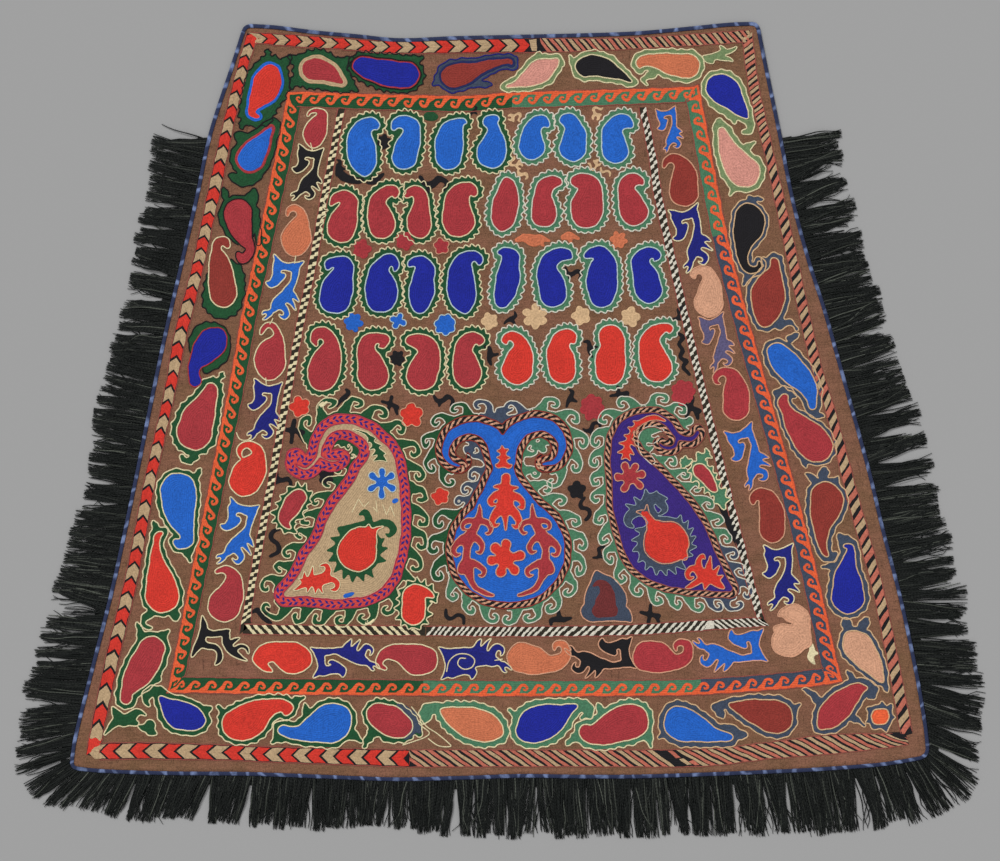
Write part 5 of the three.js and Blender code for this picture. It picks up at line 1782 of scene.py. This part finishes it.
MARKS = {
    "hook": [[(-10, -8, 1.8), (-5, -2, 2.8), (2, 2, 3.4), (9, 6, 2.6), (6, 12, 1.8)],
             [(0, 0, 3), (7, -8, 1.8)]],
    "bend": [[(-8, 10, 1.8), (-8, 2, 2.6), (-2, -2, 3.2), (6, 0, 3), (10, -8, 2.2), (4, -12, 1.6)],
             [(-4, -1, 3), (-10, -6, 1.6)]],
    "cross": [[(-11, 6, 2), (10, -2, 2.8)], [(-4, -10, 2), (3, 12, 2.4)], [(6, -2, 2.4), (9, -11, 1.8)]],
    "snake": [[(6, 16, 2), (-2, 12, 2.8), (-4, 4, 2.8), (4, -2, 3), (4, -11, 2.8), (-5, -16, 2)]],
    "curls": [[(-10, -3, 1.5), (-6, -5, 1.9), (-2, -1, 1.9), (-5, 4, 1.9), (-10, 2, 1.7)],
              [(-2, -1, 1.9), (-1, -8, 1.5)],
              [(1, 3, 1.7), (6, 6, 1.9), (9, 1, 1.9), (6, -6, 1.6), (10, -9, 1.3)]],
    "bar": [[(-10, 34, 3), (-3, 12, 5), (3, -10, 5), (10, -34, 4)]],
    "wave": [[(-7, 27, 2), (-1, 20, 3), (-7, 12, 2.4), (-2, 4, 3), (-6, -4, 2), (3, -10, 3),
              (-1, -18, 2.6), (7, -27, 2.4)]],
}
for shape, at, size, turn in (
        ("hook", (-15, 65), 1.0, 60), ("hook", (135, 75), 0.9, 70), ("bend", (110, 190), 0.9, 20),
        ("hook", (-235, 0), 1.0, 10), ("cross", (-165, -10), 1.0, 0), ("bend", (-85, 0), 1.0, 30),
        ("cross", (-310, -50), 1.3, 10), ("bend", (-325, -120), 1.0, 0), ("snake", (-338, -215), 1.1, 0),
        ("hook", (-355, -325), 1.1, 100), ("hook", (105, 0), 0.9, 30), ("cross", (180, 5), 1.0, 30),
        ("cross", (285, -15), 1.2, 0), ("bend", (137, -42), 0.9, 60), ("snake", (127, -165), 0.9, 20),
        ("bend", (148, -230), 0.8, 90), ("hook", (90, -330), 1.1, 150), ("cross", (225, -325), 1.1, 10),
        ("bar", (345, -190), 1.0, 8), ("hook", (16, 120), 0.8, 0), ("bend", (268, 128), 0.9, 90),
        ("wave", (276, 68), 1.0, 0), ("hook", (-40, 430), 0.6, 20), ("bend", (-100, 326), 1.4, 30),
        ("snake", (-68, -327), 0.9, 70), ("hook", (-242, 346), 0.8, 40), ("cross", (-190, 330), 0.5, 30)):
    motif(small_work, "black", moved(MARKS[shape], at, 1.15 * size, turn), edge=None, lift=0.3)
for shape, at, size, turn in (
        ("curls", (22, 423), 0.95, 0), ("curls", (144, 428), 1.0, 80), ("curls", (24, 352), 0.95, 150),
        ("bend", (34, 338), 0.8, 0), ("curls", (143, 351), 0.9, 215), ("snake", (158, 340), 0.6, 60)):
    motif(small_work, "beige", moved(MARKS[shape], at, size, turn), edge=None, lift=0.3)
motif(small_work, "black", [[(-244, 352, 2), (-240, 339, 6), (-229, 330, 6), (-214, 327, 5), (-206, 329, 3)],
    [(-200, 324, 2), (-188, 325, 4), (-178, 334, 3), (-174, 338, 1)]], edge=None, lift=0.3)
motif(small_work, "dark green", [[(-110, 423, 5), (-103, 424, 7), (-97, 423, 5)]], edge=None, lift=0.3)
for loop in (
        [(-133, -461), (-122, -475), (-110, -491), (-95, -501), (-78, -515), (-74, -521), (-92, -520),
         (-108, -509)],
        [(-129, -478), (-118, -490), (-106, -500), (-112, -507), (-128, -513), (-146, -519)]):
    cord(small_work, "cream", evenly(spline(loop), 2.0), width=1.8, height=0.8, lift=0.2)
small_work.sew()

# ---- The cover as one cloth ----
# The panel is the sheet that everything else is sewn to, and it lies on the floor as it was cut.
# Every piece, the panel among them, rides on the one body that each was attached to as it was made.

# ---- The floor, the light and the view ----
# A plain pale grey floor in soft, even light from above, with a little more from the top left. The
# view looks straight down from far enough away to take in the whole fringe.

FLOOR_SIZE = 14.0
FLOOR_GREY = (161, 161, 161)
FLOOR_DROP = 0.0005
SKY_LIGHT = 0.62
SUN_LIGHT = 1.75
SUN_SPREAD = 22
SUN_TILT = (-38, -32, 0)
VIEW_CENTRE = (0, -47.25)
VIEW_WIDTH = 1500
LENS = 85
SENSOR = 36
bpy.ops.mesh.primitive_plane_add(size=FLOOR_SIZE, location=(0, 0, -FLOOR_DROP))
floor = bpy.context.object
floor.name = "floor"
floor_finish = Finish("floor", roughness=0.95, specular=0.0)
floor_finish.feed(floor_finish.shader.inputs["Base Color"], linear(FLOOR_GREY))
floor.data.materials.append(floor_finish.material)

world = bpy.data.worlds.new("studio")
world.use_nodes = True
world.node_tree.nodes["Background"].inputs["Color"].default_value = (1, 1, 1, 1)
world.node_tree.nodes["Background"].inputs["Strength"].default_value = SKY_LIGHT
bpy.context.scene.world = world

lamp = bpy.data.lights.new("key", "SUN")
lamp.energy = SUN_LIGHT
lamp.angle = np.radians(SUN_SPREAD)
key = bpy.data.objects.new("key", lamp)
key.rotation_euler = np.radians(SUN_TILT)
bpy.context.collection.objects.link(key)

lens = bpy.data.cameras.new("view")
lens.lens = LENS
lens.sensor_width = SENSOR
camera = bpy.data.objects.new("view", lens)
middle = stand([VIEW_CENTRE], 0)[0]
camera.location = (middle[0], middle[1], VIEW_WIDTH * MM * LENS / SENSOR)
bpy.context.collection.objects.link(camera)
bpy.context.scene.camera = camera
bpy.context.scene.view_settings.view_transform = "Standard"
